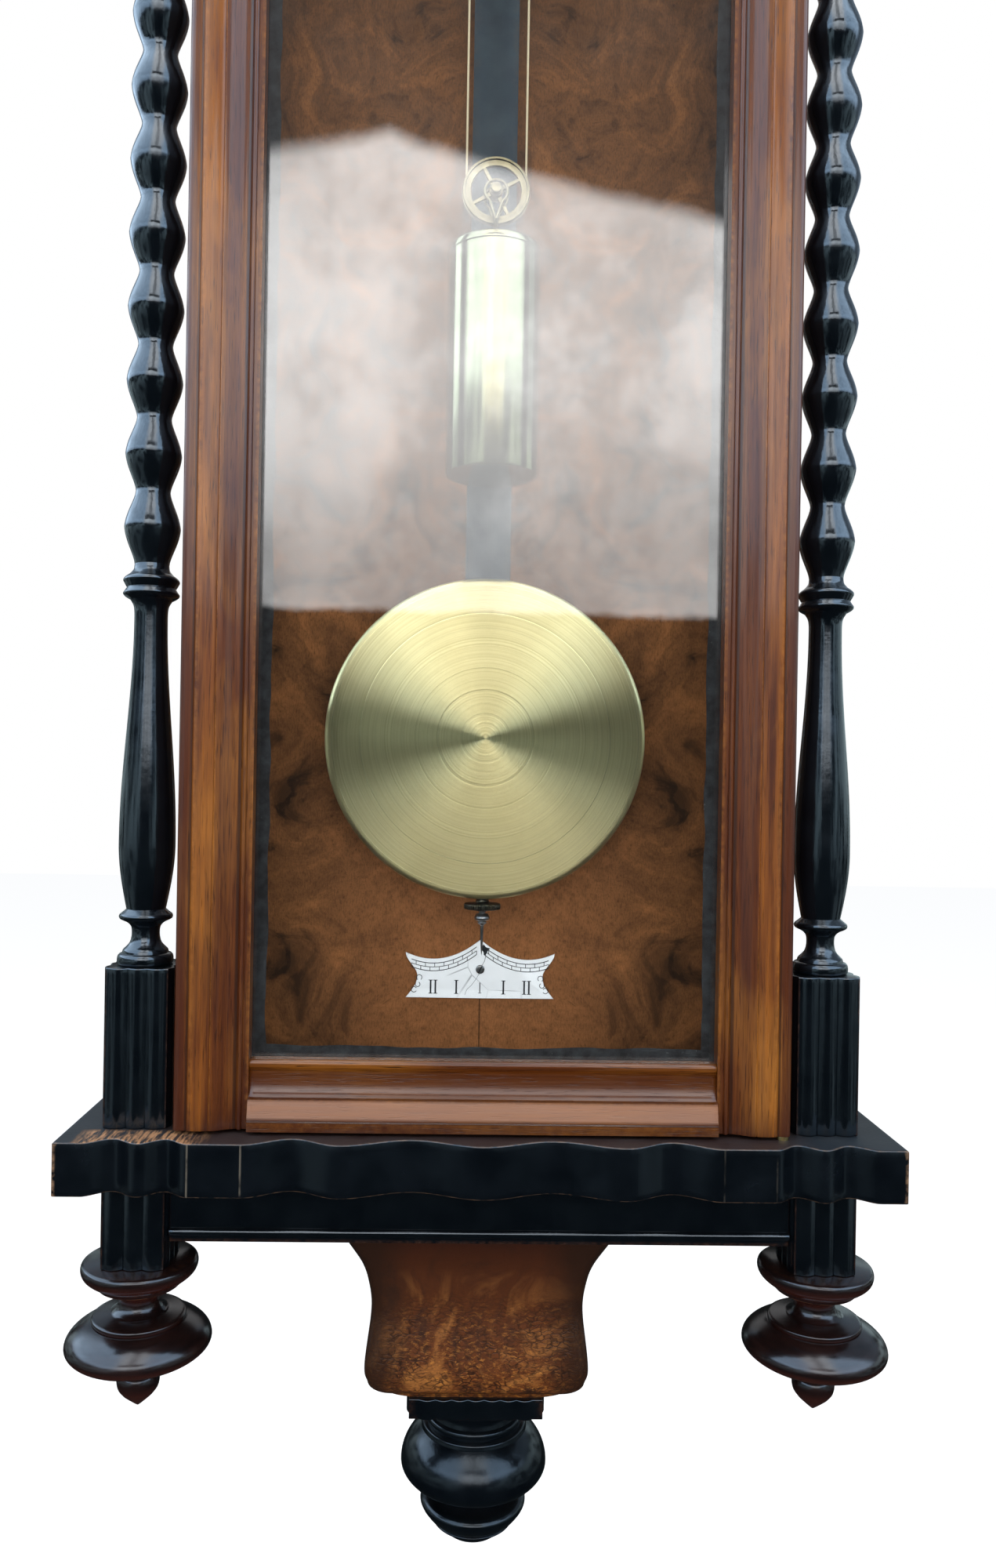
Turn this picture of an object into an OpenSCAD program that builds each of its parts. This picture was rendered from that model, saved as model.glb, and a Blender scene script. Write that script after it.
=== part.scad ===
// Weight-driven wall clock of the Viennese kind, with a glazed door between turned columns.
// A depth is a distance from the wall. A height is measured from the top of the shelf.

/* [Case] */
// Width over the two side frames
case_w = 272; // [266:1:278]
// Height from the shelf to the cornice
case_h = 867; // [860:1:900]
// Depth from the wall to the front of the side frames
case_d = 105.4; // [105:0.2:112]
// Thickness of the backboard
board_t = 20; // [16:0.5:21]
// Thickness of a side frame
side_t = 12; // [10:0.5:14]
// Width of a side frame's upright or rail
side_bar = 18; // [14:1:22]
// Thickness of the side panes
side_pane_t = 2; // [1.5:0.1:3]

/* [Shelf and cornice] */
// How far the shelf and the cornice stand out beside the blocks
shelf_over = 14; // [10:1:24]
// Thickness of the shelf and of the cornice
shelf_t = 24; // [20:1:28]
// Depth of the shelf and of the cornice
shelf_d = 140.5; // [138:0.5:150]
// How deep the middle waves are cut
mid_wave = 9; // [4:0.5:10]
// How deep the waves in front of the columns are cut
end_wave = 5.5; // [2:0.5:6]
// Height of the rails under the shelf
apron_h = 29; // [24:1:34]
// Thickness of the rails under the shelf
apron_t = 14; // [10:1:16]
// Half width of the crest board at its foot
crest_half = 128; // [110:1:140]
// Height of the crest board
crest_h = 88; // [70:1:110]
// Thickness of the crest board
crest_t = 18; // [14:0.5:22]
// Height of the small finials on top
finial_l = 70; // [50:1:90]

/* [Blocks and columns] */
// Gap between the door's side and a block
block_gap = 3; // [2:0.5:8]
// Depth of a column's axis
column_d = 105; // [100:0.5:108]
// Width of the square blocks above and below a column
block_w = 32; // [26:0.5:33]
// Height of those blocks
block_h = 73.5; // [60:0.5:80]
// Height of the blocks under the shelf
drop_block_h = 41; // [34:1:48]
// Radius of a column at its rings and bobbins
column_r = 12.9; // [10:0.1:13.4]
// Radius of a column at its necks
neck_r = 7.9; // [6:0.1:9]
// Number of bobbins on a column
bobbins = 14; // [10:1:16]
// Largest radius of the turned drops under the blocks
drop_r = 33.6; // [28:0.2:36]
// Length of those drops
drop_l = 69; // [60:0.5:80]

/* [Bottom bracket] */
// Half width of the bracket at its waist
bracket_waist = 51.3; // [44:0.5:56]
// Depth of the bracket at its waist
bracket_d = 83; // [76:0.5:90]
// Height of the bracket below the rails
bracket_h = 90.7; // [80:0.5:100]
// Width of the fluted cap under the bracket
cap_w = 69; // [60:0.5:76]
// Thickness of the fluted cap
cap_t = 9.8; // [8:0.2:13]
// Largest radius of the pendant
pendant_r = 37.8; // [32:0.2:42]
// Length of the pendant
pendant_l = 73; // [60:0.5:85]

/* [Door] */
// How far the door covers the case on each side
door_over = 5; // [3:0.5:7]
// Thickness of the door
door_t = 22; // [20:0.5:24]
// Width of the door's uprights
stile_w = 33.5; // [30:0.5:36]
// Height of the door's rails
rail_h = 31.5; // [28:0.5:36]
// Thickness of the door's pane
pane_t = 2.5; // [2:0.1:3]
// Distance from the door's front to the pane
pane_set = 12; // [10:0.5:13]
// Radius of the pins that the door turns on
pivot_r = 1.5; // [1:0.1:2]
// Distance from the door's front and side to the axis of those pins
pivot_in = 3.5; // [3:0.1:4.5]

/* [Pendulum] */
// Distance from the case's top down to the point that the pendulum swings from
swing_below = 107; // [95:1:120]
// Depth of the pendulum
swing_d = 44; // [40:0.5:46]
// Height of the middle of the bob
bob_h = 184.5; // [170:0.5:220]
// Radius of the bob
bob_r = 84; // [70:0.5:90]
// Thickness of the bob at its rim
bob_t = 11.4; // [10:0.2:12]
// Width of the rod
rod_w = 23.5; // [18:0.5:28]
// Thickness of the rod
rod_t = 8; // [6:0.5:9]
// Radius of the rating nut
nut_r = 9.6; // [7:0.2:11]

/* [Weight] */
// Height of the pulley's axis
pulley_h = 454.2; // [440:0.2:470]
// Depth of the weight's axis
weight_d = 80; // [79:0.5:82]
// Radius of the weight
weight_r = 22.7; // [18:0.1:24]
// Length of the weight
weight_l = 112; // [90:1:130]
// Radius of the pulley over its flanges
pulley_r = 16.75; // [16:0.05:18]
// Distance from the pulley's axis to the middle of the line
line_reach = 14.75; // [14:0.05:15.2]
// Radius of the gut line
line_r = 0.55; // [0.4:0.05:0.7]

/* [Movement] */
// How far the third wheel's arbor stands beside the middle
third_x = 14.38; // [13:0.02:16]
// Radius of the dial
dial_r = 78; // [72:1:84]
// Width of the movement's plates
plate_w = 76; // [74:1:84]
// Thickness of the movement's plates
plate_t = 2.5; // [2:0.1:3]
// Depth of the front of the back plate
back_plate_d = 62; // [61:0.5:63]
// Depth of the front of the front plate
front_plate_d = 96; // [95:0.5:97]
// Size of one tooth on the great wheel, as its module
great_module = 0.7; // [0.65:0.01:0.72]
// Size of one tooth on the centre wheel, as its module
centre_module = 0.6; // [0.58:0.01:0.62]
// Size of one tooth on the third wheel, as its module
third_module = 0.55; // [0.53:0.01:0.57]
// Size of one tooth of the wheels behind the dial, as its module
motion_module = 0.5; // [0.46:0.01:0.52]
// Radius of the escape wheel
escape_r = 14; // [13:0.1:15]

/* [Hidden] */
$fn = 48;

// Clearances
run_gap = 0.05;
part_gap = 0.3;
door_gap = 0.6;

// The hanger's hole is the origin, this far above the shelf
hanger_h = case_h - 19;
hanger_r = 5;
hanger_t = 2.5;
hanger_w = 56;
hanger_tall = 34;
hanger_pocket = 12;
hanger_screw_x = 21;
screw_r = 1.8;

door_back = case_d + door_gap;
door_front = door_back + door_t;
door_half = case_w / 2 + door_over;
sight_half = door_half - stile_w;
door_low = 1.6;
door_high = case_h - 1.6;
pivot_x = door_half - pivot_in;
pivot_d = door_front - pivot_in;
pane_d = door_front - pane_set;
rebate = 4.5;
case_half = case_w / 2;
column_x = door_half + block_gap + block_w / 2;
shelf_w = 2 * (column_x + block_w / 2 + shelf_over);
block_front = column_d + block_w / 2;
apron_front = block_front - 5.5;
apron_low = -shelf_t - apron_h;
column_h = case_h - 2 * block_h;
column_foot = 187.7;
column_head = 49.3;
bobbin_pitch = (column_h - column_foot - column_head) / bobbins;
drop_top = -shelf_t - drop_block_h;
bracket_low = apron_low - bracket_h;
pendant_d = 48.8;
cap_low = bracket_low - cap_t;

swing_h = case_h - swing_below;
bob_front = swing_d + bob_t / 2 + 0.3;
rod_top = swing_h - 26;
rod_low = bob_h - bob_r + 8;
crutch_drop = 60;

weight_top = pulley_h - 29;
weight_low = weight_top - weight_l;

great_teeth = 96;
centre_leaves = 8;
centre_teeth = 80;
third_leaves = 8;
third_teeth = 64;
escape_leaves = 8;
escape_teeth = 30;
cannon_teeth = 12;
minute_teeth = 36;
minute_leaves = 10;
hour_teeth = 40;

pallet_span = 51;
escape_h = swing_h - escape_r / cos(pallet_span);
third_reach = centre_module * (centre_teeth + third_leaves) / 2;
third_back = third_module * (third_teeth + escape_leaves) / 2;
third_up = sqrt(pow(third_reach, 2) - pow(third_x, 2));
third_h = escape_h - sqrt(pow(third_back, 2) - pow(third_x, 2));
dial_h = third_h - third_up;
great_h = dial_h - great_module * (great_teeth + centre_leaves) / 2;
motion_reach = motion_module * (cannon_teeth + minute_teeth) / 2;
hour_module = 2 * motion_reach / (minute_leaves + hour_teeth);

plate_low = dial_h - 62;
plate_high = swing_h + 8;
plate_half = plate_w / 2;
great_d = 64;
wheel_t = 1.6;
centre_d = 90.2;
third_d = 74.4;
escape_d = 66.6;
drum_d = 69;
drum_l = 18;
dial_d = 103.5;
dial_t = 1.2;
motion_d = 97;
hour_d = 100;
hour_hand_d = 106.1;
minute_hand_d = 108.3;
seconds_hand_d = 105.3;
hand_t = 0.7;

wood = "saddlebrown";
walnut = "peru";
ebony = "#17181c";
gold = "goldenrod";
steel = "slategray";

// Every piece is drawn from the shelf's top and then set down from the hanger
module hung() {
    translate([0, 0, -hanger_h])
        children();
}

// An outline in width and height, given thickness between two depths
module between_depths(near_wall, far) {
    translate([0, -near_wall, 0])
        rotate([90, 0, 0])
            linear_extrude(far - near_wall)
                children();
}

// An outline in depth and height, given length across the clock
module across(from, to) {
    translate([from, 0, 0])
        rotate([90, 0, 90])
            linear_extrude(to - from)
                mirror([1, 0])
                    children();
}

// An outline in width and depth, given height
module upright(low, high) {
    translate([0, 0, low])
        linear_extrude(high - low)
            mirror([0, 1])
                children();
}

// A round bar that points out from the wall
module bar_out(x, h, r, near_wall, far) {
    translate([x, -near_wall, h])
        rotate([90, 0, 0])
            cylinder(r = r, h = far - near_wall);
}

// A turned shape about an axis that points out from the wall
module turned_out(x, h) {
    translate([x, 0, h])
        rotate([90, 0, 0])
            rotate_extrude()
                children();
}

// A box from corner to corner, in width, depth and height
module box(x0, x1, d0, d1, h0, h1) {
    translate([x0, -d1, h0])
        cube([x1 - x0, d1 - d0, h1 - h0]);
}

module both_sides() {
    children();
    mirror([1, 0, 0])
        children();
}

function blend(a, b, t) = a + (b - a) * (1 - cos(180 * t)) / 2;
function arc(c, rx, ry, a0, a1, n = 8) =
    [for (i = [0:n]) c + [rx * cos(a0 + (a1 - a0) * i / n), ry * sin(a0 + (a1 - a0) * i / n)]];
function backwards(list) = [for (i = [len(list) - 1:-1:0]) list[i]];
function mirrored(list) = [for (p = backwards(list)) [-p[0], p[1]]];

// The wave of a serpentine edge between two crests, as points in width and depth
function wave(x0, x1, front, cut, n = 12) =
    [for (i = [1:n]) [x0 + (x1 - x0) * i / n, front - cut * (1 - cos(360 * i / n)) / 2]];
function half_wave_edge() =
    let (
        corner = shelf_w / 2,
        flat_out = column_x - block_w / 2 - 13,
        mid = flat_out - 23.5,
        lobe = mid * 0.6
    )
    concat(
        [[0, shelf_d]],
        wave(0, lobe, shelf_d, mid_wave),
        wave(lobe, mid, shelf_d, mid_wave),
        [[flat_out, shelf_d]],
        wave(flat_out, column_x - 7, shelf_d, end_wave),
        wave(column_x - 7, corner - 12, shelf_d, end_wave),
        [[corner, shelf_d], [corner, 0]]
    );

module serpentine_plan() {
    polygon(concat(half_wave_edge(), mirrored(half_wave_edge())));
}

// One face of a reeded block, from left to right
function reeds(width, edge, count, rise, n = 6) =
    let (reed_w = (width - 2 * edge) / count)
    [for (k = [0:count - 1]) for (i = [0:n])
        [-width / 2 + edge + reed_w * (k + i / n), rise * sin(180 * i / n) * (i == 0 || i == n ? 0 : 1)]];

// A square block with reeds on its front and its sides, centred on its own axis
module reeded_plan(width, depth, edge, count, rise) {
    face = reeds(width - 2 * rise, edge, count, rise);
    side = reeds(depth - 2 * rise, edge, count, rise);
    half_w = width / 2 - rise;
    half_d = depth / 2 - rise;
    polygon(concat(
        [[-half_w, half_d]],
        [for (p = face) [p[0], half_d + p[1]]],
        [[half_w, half_d]],
        [for (p = side) [half_w + p[1], -p[0]]],
        [[half_w, -half_d - rise], [-half_w, -half_d - rise]],
        [for (p = side) [-half_w - p[1], p[0]]]
    ));
}

module backboard() {
    color(walnut) difference() {
        box(-case_half, case_half, 0, board_t, 0, case_h);
        translate([0, 0, hanger_h])
            box(-hanger_w / 2, hanger_w / 2, -1, hanger_t, -hanger_tall / 2, hanger_tall / 2);
        bar_out(0, hanger_h, hanger_r + 5, 0, hanger_pocket);
        for (x = [-hanger_screw_x, hanger_screw_x])
            bar_out(x, hanger_h, screw_r, 0, hanger_pocket);
    }
}

module hanger_plate() {
    color(steel) {
        difference() {
            box(-hanger_w / 2, hanger_w / 2, 0, hanger_t, hanger_h - hanger_tall / 2, hanger_h + hanger_tall / 2);
            bar_out(0, hanger_h, hanger_r, -1, hanger_t + 1);
            for (x = [-hanger_screw_x, hanger_screw_x])
                bar_out(x, hanger_h, screw_r, -1, hanger_t + 1);
        }
        for (x = [-hanger_screw_x, hanger_screw_x])
            bar_out(x, hanger_h, screw_r, 0, hanger_pocket);
    }
}

// Two uprights and two rails round a side pane, as four pieces of wood
module side_frame() {
    inner = case_half - side_t;
    color(wood) {
        box(inner, case_half, board_t, board_t + side_bar, 0, case_h);
        box(inner, case_half, case_d - side_bar, case_d, 0, case_h);
        box(inner, case_half, board_t + side_bar, case_d - side_bar, 0, side_bar);
        box(inner, case_half, board_t + side_bar, case_d - side_bar, case_h - side_bar, case_h);
    }
}

module side_frame_right() {
    side_frame();
}

module side_frame_left() {
    mirror([1, 0, 0])
        side_frame();
}

module side_panes() {
    middle = case_half - side_t / 2;
    color("lightblue", 0.4)
        both_sides()
            box(middle - side_pane_t / 2, middle + side_pane_t / 2, board_t + side_bar,
                case_d - side_bar, side_bar, case_h - side_bar);
}

// The lower pivot stands in the shelf and the upper one hangs in the cornice
module pivot_socket(low, high) {
    translate([pivot_x, -pivot_d, low])
        cylinder(r = pivot_r, h = high - low);
}

module shelf() {
    color(ebony) difference() {
        upright(-shelf_t, 0)
            serpentine_plan();
        pivot_socket(-8, 1);
    }
}

module cornice() {
    color(ebony) difference() {
        union() {
            upright(case_h, case_h + shelf_t)
                serpentine_plan();
            upright(case_h + shelf_t, case_h + shelf_t + 10)
                polygon([[-shelf_w / 2 + 16, 0], [shelf_w / 2 - 16, 0],
                    [shelf_w / 2 - 16, shelf_d - 17], [-shelf_w / 2 + 16, shelf_d - 17]]);
        }
        pivot_socket(case_h - 1, case_h + 8);
    }
}

// A front rail with a bead along its foot, and two plain rails back to the wall
module apron_rails() {
    inner = column_x - block_w / 2;
    back_end = apron_front - apron_t;
    bead = 2;
    bead_h = apron_low + 4.5;
    color(ebony) {
        across(-inner, inner)
            polygon(concat(
                [[back_end, -shelf_t], [back_end, apron_low], [apron_front, apron_low]],
                arc([apron_front, bead_h], bead, bead, -90, 90),
                [[apron_front, -shelf_t]]
            ));
        both_sides()
            box(inner - apron_t, inner, 0, back_end, apron_low, -shelf_t);
    }
}

// How far the bracket swells past its waist, with the height, from the rails down
function bracket_swell() =
    let (flare = 17, belly = 2.8, round_w = 11, round_h = 16.7,
        waist_h = apron_low - 0.437 * bracket_h,
        belly_h = bracket_low + round_h)
    concat(
        [[flare, apron_low]],
        [for (i = [1:8]) [flare * (1 - sin(90 * i / 8)), blend(apron_low, 2 * waist_h - apron_low, i / 16)]],
        [for (i = [1:6]) [blend(0, belly, i / 6), waist_h + (belly_h - waist_h) * i / 6]],
        [for (i = [1:8]) [belly - round_w * (1 - cos(90 * i / 8)), belly_h - round_h * sin(90 * i / 8)]]
    );

module bottom_bracket() {
    swell = bracket_swell();
    edge = [for (p = swell) [bracket_waist + p[0], p[1]]];
    front = [for (p = swell) [bracket_d + p[0], p[1]]];
    top_half = bracket_waist + swell[0][0];
    color(walnut) {
        intersection() {
            between_depths(0, bracket_d + 40)
                polygon(concat(edge, mirrored(edge)));
            across(-2 * bracket_waist, 2 * bracket_waist)
                polygon(concat([[0, apron_low]], front, [[0, bracket_low]]));
        }
        box(-top_half, top_half, 0, apron_front - apron_t - part_gap, apron_low, -shelf_t);
    }
}

module bracket_cap() {
    color(ebony)
        upright(cap_low, bracket_low)
            translate([0, pendant_d])
                reeded_plan(cap_w, cap_w, 5, 7, 1.4);
}

module turned(profile) {
    rotate_extrude()
        polygon(profile);
}

// A profile stretched to a length, from the length that it is written in
function stretched(list, k) = [for (p = list) [p[0], p[1] * k]];

function pendant_profile() =
    let (bulb_h = -37.4, ring_r = pendant_r - 10.8, rim_r = pendant_r - 10.6)
    stretched(concat(
        [[0, 0], [24.4, 0], [24.4, -5], [22.6, -6.5], [22.6, -12], [25, -14], [25, -16.5], [24, -17]],
        [[ring_r, -18], [ring_r, -19.4]],
        [for (i = [0:10]) [ring_r + 0.6 + (pendant_r - ring_r - 0.6) * sin(9 * i), blend(bulb_h, -19.6, 1 - i / 10)]],
        [for (i = [1:8]) [blend(pendant_r, 14, i / 8), bulb_h - 13.6 * sin(90 * i / 8)]],
        [[16, -51.6], [21, -52.6], [rim_r, -55], [rim_r, -57.6], [20, -61], [15.6, -62.6], [15, -64]],
        [[15, -70.5], [14, -72.3], [11, -73], [0, -73]]
    ), pendant_l / 73);

module pendant() {
    color(ebony)
        translate([0, -pendant_d, cap_low])
            turned(pendant_profile());
}

function drop_profile() =
    let (bulb_h = -38.4, ring_r = drop_r - 12.2)
    stretched(concat(
        [[0, 0], [25, 0], [26.4, -1.2], [26.8, -3], [26, -5.4], [24, -7.4], [21, -9.4], [19, -11.6]],
        [[15, -13.6], [11, -15.6], [9.6, -18], [9.6, -20], [10.6, -22], [12.8, -24]],
        [[ring_r - 1, -25.6], [ring_r, -26], [ring_r, -27.4], [ring_r + 0.8, -28]],
        [for (i = [1:10]) [ring_r + 0.8 + (drop_r - ring_r - 0.8) * sin(9 * i), blend(bulb_h, -28, 1 - i / 10)]],
        [for (i = [1:8]) [blend(drop_r, 9, i / 8), bulb_h - 13.6 * sin(90 * i / 8)]],
        [[8, -53.4], [8.6, -55.4], [9.2, -58.3], [8.6, -61.4], [7, -63.8], [4.2, -66], [1.8, -67.6], [0, -69]]
    ), drop_l / 69);

module drop_finial() {
    color("#3a1d17")
        translate([column_x, -column_d, drop_top])
            turned(drop_profile());
}

module drop_finial_right() {
    drop_finial();
}

module drop_finial_left() {
    mirror([1, 0, 0])
        drop_finial();
}

module block(low, high) {
    upright(low, high)
        translate([column_x, column_d])
            reeded_plan(block_w, block_w, 1.6, 3, 0.9);
}

module plinth_blocks() {
    color(ebony)
        both_sides()
            block(0, block_h);
}

module drop_blocks() {
    color(ebony)
        both_sides()
            block(drop_top, -shelf_t);
}

module top_blocks() {
    color(ebony)
        both_sides()
            block(case_h - block_h, case_h);
}

// Ring, neck and torus, as they stand on a block, as radius and height
function column_base() = [
    [0, 0], [column_r - 0.9, 0], [column_r, 1.6], [column_r, 3.4], [column_r - 1, 5], [10.6, 5.6],
    [10.2, 7], [8.6, 8.6], [7.2, 10.4], [6.5, 13], [6.4, 15.6], [6.8, 17.8], [8.4, 19.6], [11.2, 21],
    [column_r - 0.8, 22], [column_r - 0.8, 23.4], [10.4, 24.8], [9, 26]
];
function column_profile() =
    let (
        first = column_foot,
        last = column_h - column_head,
        vase_high = first - 24.7,
        vase_low = 26 + (vase_high - 26) * 0.2248
    )
    concat(
        column_base(),
        [for (i = [1:8]) [9 + (column_r - 9) * sin(90 * i / 8), 26 + (vase_low - 26) * i / 8]],
        [for (i = [1:12]) [blend(column_r, neck_r - 0.3, i / 12), vase_low + (vase_high - vase_low) * i / 12]],
        [[neck_r, first - 19.7], [9.4, first - 16.7], [column_r, first - 14.5], [column_r, first - 13.5]],
        [[11.3, first - 10.8], [column_r, first - 8.1], [column_r, first - 7.1], [10, first - 4.7], [neck_r, first - 2.1]],
        [for (k = [0:bobbins - 1]) for (i = [0:11])
            [neck_r + (column_r - neck_r) * pow(sin(15 * i), 1.5), first + bobbin_pitch * (k + i / 12)]],
        [[neck_r, last], [neck_r, last + 2], [10, last + 4.6], [column_r, last + 6.8], [column_r, last + 7.8]],
        [[11.3, last + 10.4], [column_r, last + 13], [column_r, last + 14], [9.4, last + 17], [9, column_h - 26]],
        [for (p = backwards(column_base())) [p[0], column_h - p[1]]]
    );

module column() {
    color(ebony)
        translate([column_x, -column_d, block_h])
            turned(column_profile());
}

module column_right() {
    column();
}

module column_left() {
    mirror([1, 0, 0])
        column();
}

// A low arched board with a swept shoulder on each side
crest_d = 60;
crest_foot = case_h + shelf_t + 10;
shoulder = crest_h * 0.66;
crest_top = crest_foot + shoulder + (crest_h - shoulder) * sin(80);
function crest_edge() =
    let (sweep = crest_half * 0.485, crown = crest_half * 0.406)
    concat(
        [[crest_half, crest_foot], [crest_half, crest_foot + shoulder / 4]],
        arc([crest_half, crest_foot + shoulder], sweep, shoulder * 0.75, 270, 180, 10),
        [[crown, crest_foot + shoulder]],
        arc([0, crest_foot + shoulder], crown, crest_h - shoulder, 0, 80, 8)
    );

module crest() {
    edge = crest_edge();
    color(ebony)
        between_depths(crest_d, crest_d + crest_t)
            polygon(concat(edge, mirrored(edge)));
    color(walnut)
        between_depths(crest_d + crest_t, crest_d + crest_t + 4)
            translate([0, crest_foot + crest_h * 0.455])
                scale([crest_half * 0.28, crest_h * 0.295])
                    circle(r = 1);
}

function crest_finial_profile(tall) = stretched([
    [0, 0], [13, 0], [13, 3], [8, 5], [6, 9], [7, 12], [15, 16], [17, 21], [15, 27], [8, 31], [5.5, 34],
    [7.5, 36.5], [7.5, 38.5], [4.6, 41], [5.6, 54], [4, 62], [1.6, 67], [0, 70]
], tall / 70);

module crest_finials() {
    color(ebony) {
        translate([0, -crest_d - crest_t / 2, crest_top])
            turned(crest_finial_profile(finial_l - 8));
        both_sides()
            translate([column_x - 2, -column_d, crest_foot])
                turned(crest_finial_profile(finial_l));
    }
}

// The enamelled scale behind the pendulum's point
scale_h = bob_h - bob_r - 24.9;
scale_screw_h = scale_h - 16.2;
module beat_plate() {
    peak = scale_h;
    horn = [40.8, scale_h - 7.3];
    waist = [34.3, scale_h - 20.2];
    foot = [40.5, scale_h - 32];
    dip = scale_h - 11.4;
    edge = concat(
        [[0, peak]],
        [for (i = [1:10]) let (t = i / 10)
            [horn[0] * t, (1 - t) * (1 - t) * peak + 2 * t * (1 - t) * (dip - 5.6) + t * t * horn[1]]],
        [for (i = [1:4]) [blend(horn[0], waist[0], i / 4), horn[1] + (waist[1] - horn[1]) * i / 4]],
        [for (i = [1:4]) [waist[0] + (foot[0] - waist[0]) * (1 - cos(22.5 * i)), waist[1] + (foot[1] - waist[1]) * i / 4]],
        [[0, foot[1] - 0.2]]
    );
    color("white") difference() {
        between_depths(board_t, board_t + 1.4)
            polygon(concat(edge, mirrored(edge)));
        bar_out(0, scale_screw_h, 1, board_t - 1, board_t + 3);
    }
}

module beat_plate_screw() {
    color(steel) {
        bar_out(0, scale_screw_h, 1, board_t, board_t + 1.4);
        bar_out(0, scale_screw_h, 2.4, board_t + 1.4, board_t + 2.6);
    }
}

module pivot_pin(seat_low, seat_high, tip_low, tip_high) {
    translate([pivot_x, -pivot_d, tip_low])
        cylinder(r = pivot_r, h = tip_high - tip_low);
    translate([pivot_x, -pivot_d, seat_low])
        cylinder(r = pivot_r + 1.4, h = seat_high - seat_low);
}

module door_pivots() {
    color(gold) {
        pivot_pin(0, door_low, -8, door_low + 9);
        pivot_pin(door_high + part_gap, case_h, door_high - 9, case_h + 8);
    }
}

latch_d = case_d - side_bar / 2;
latch_heights = [case_h - 317, case_h - 117];
stud_d = door_back + 11;
stud_r = 1.5;
latch_t = 1.8;
latch_bush_r = 2;

module latch_posts() {
    color(gold)
        for (h = latch_heights)
            translate([-case_half, -latch_d, h])
                rotate([0, -90, 0]) {
                    cylinder(r = 4, h = door_half - case_half + 1.2 - part_gap);
                    cylinder(r = latch_bush_r, h = door_half - case_half + 1.2 + latch_t + part_gap);
                    translate([0, 0, door_half - case_half + 1.2 + latch_t + part_gap])
                        cylinder(r = 3.2, h = 0.9);
                }
}

// A flat hook, drawn turned up and clear of its stud, with its mouth to the front
module latch_hook(h) {
    reach = stud_d - latch_d;
    slot = stud_r + part_gap;
    color(gold)
        translate([0, 0, h])
            across(-door_half - 1.2 - latch_t, -door_half - 1.2)
                difference() {
                    union() {
                        translate([latch_d, 0])
                            circle(r = 4.6);
                        translate([latch_d - 2.6, 0])
                            square([5.2, reach]);
                        translate([latch_d - 1.5, reach])
                            circle(r = 4.6);
                    }
                    translate([latch_d, 0])
                        circle(r = latch_bush_r + run_gap);
                    translate([latch_d, reach])
                        circle(r = slot);
                    translate([latch_d, reach - slot])
                        square([8, 2 * slot]);
                }
}

module latch_hook_upper() {
    latch_hook(latch_heights[1]);
}

module latch_hook_lower() {
    latch_hook(latch_heights[0]);
}

// Two iron arms from the backboard, one with the lug that holds the line's end
arm_in = 28;
arm_out = 35.5;
lug_low = plate_low - 6;
module seat_bracket() {
    across(arm_in, arm_out)
        polygon([[board_t, plate_low - 46], [board_t, plate_low + 14], [board_t + 3, plate_low + 14],
            [board_t + 3, plate_low], [front_plate_d, plate_low], [front_plate_d, plate_low - 6],
            [board_t + 30, plate_low - 10], [board_t + 4, plate_low - 46]]);
}

module seat_brackets() {
    color(steel) {
        both_sides()
            seat_bracket();
        difference() {
            box(line_reach - 4, arm_in, weight_d - 3, weight_d + 3, lug_low, plate_low);
            translate([line_reach, -weight_d, lug_low - 1])
                cylinder(r = line_r + run_gap, h = 8);
        }
    }
}

module suspension_bracket() {
    chop = 4;
    color(gold) {
        box(-13, 13, board_t, board_t + 3, swing_h - 8, swing_h + 26);
        box(-6, 6, board_t + 3, swing_d + chop, swing_h + 5, swing_h + 12);
        box(-6, 6, swing_d - chop, swing_d + chop, swing_h + part_gap, swing_h + 5);
        for (h = [swing_h - 3, swing_h + 21])
            bar_out(0, h, 3, board_t + 3, board_t + 4.4);
    }
}

module arbor_hole(x, h, r) {
    bar_out(x, h, r + run_gap, back_plate_d - 10, front_plate_d + 10);
}

great_arbor_r = 3;
centre_arbor_r = 1.5;
small_arbor_r = 1;
module movement_plates() {
    color(gold) difference() {
        union() {
            box(-plate_half, plate_half, back_plate_d - plate_t, back_plate_d, plate_low, plate_high);
            box(-plate_half, plate_half, front_plate_d - plate_t, front_plate_d, plate_low, plate_high);
        }
        arbor_hole(0, great_h, great_arbor_r);
        arbor_hole(0, dial_h, centre_arbor_r);
        arbor_hole(third_x, third_h, small_arbor_r);
        arbor_hole(0, escape_h, small_arbor_r);
        arbor_hole(0, swing_h, small_arbor_r);
    }
}

pillar_spots = [[plate_half - 5, plate_low + 5], [5 - plate_half, plate_low + 5],
    [plate_half - 7, plate_high - 10], [7 - plate_half, plate_high - 10]];
module movement_pillars() {
    color(gold) {
        for (p = pillar_spots) {
            turned_out(p[0], p[1])
                polygon([[0, back_plate_d], [3, back_plate_d], [3, back_plate_d + 4], [2.1, back_plate_d + 7],
                    [2.1, front_plate_d - plate_t - 7], [3, front_plate_d - plate_t - 4],
                    [3, front_plate_d - plate_t], [0, front_plate_d - plate_t]]);
            bar_out(p[0], p[1], 2.6, front_plate_d, front_plate_d + 1.6);
            bar_out(p[0], p[1], 2.6, back_plate_d - plate_t - 1.6, back_plate_d - plate_t);
        }
        bar_out(-motion_reach, dial_h, small_arbor_r, front_plate_d, hour_d + 2.2);
    }
}

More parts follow.
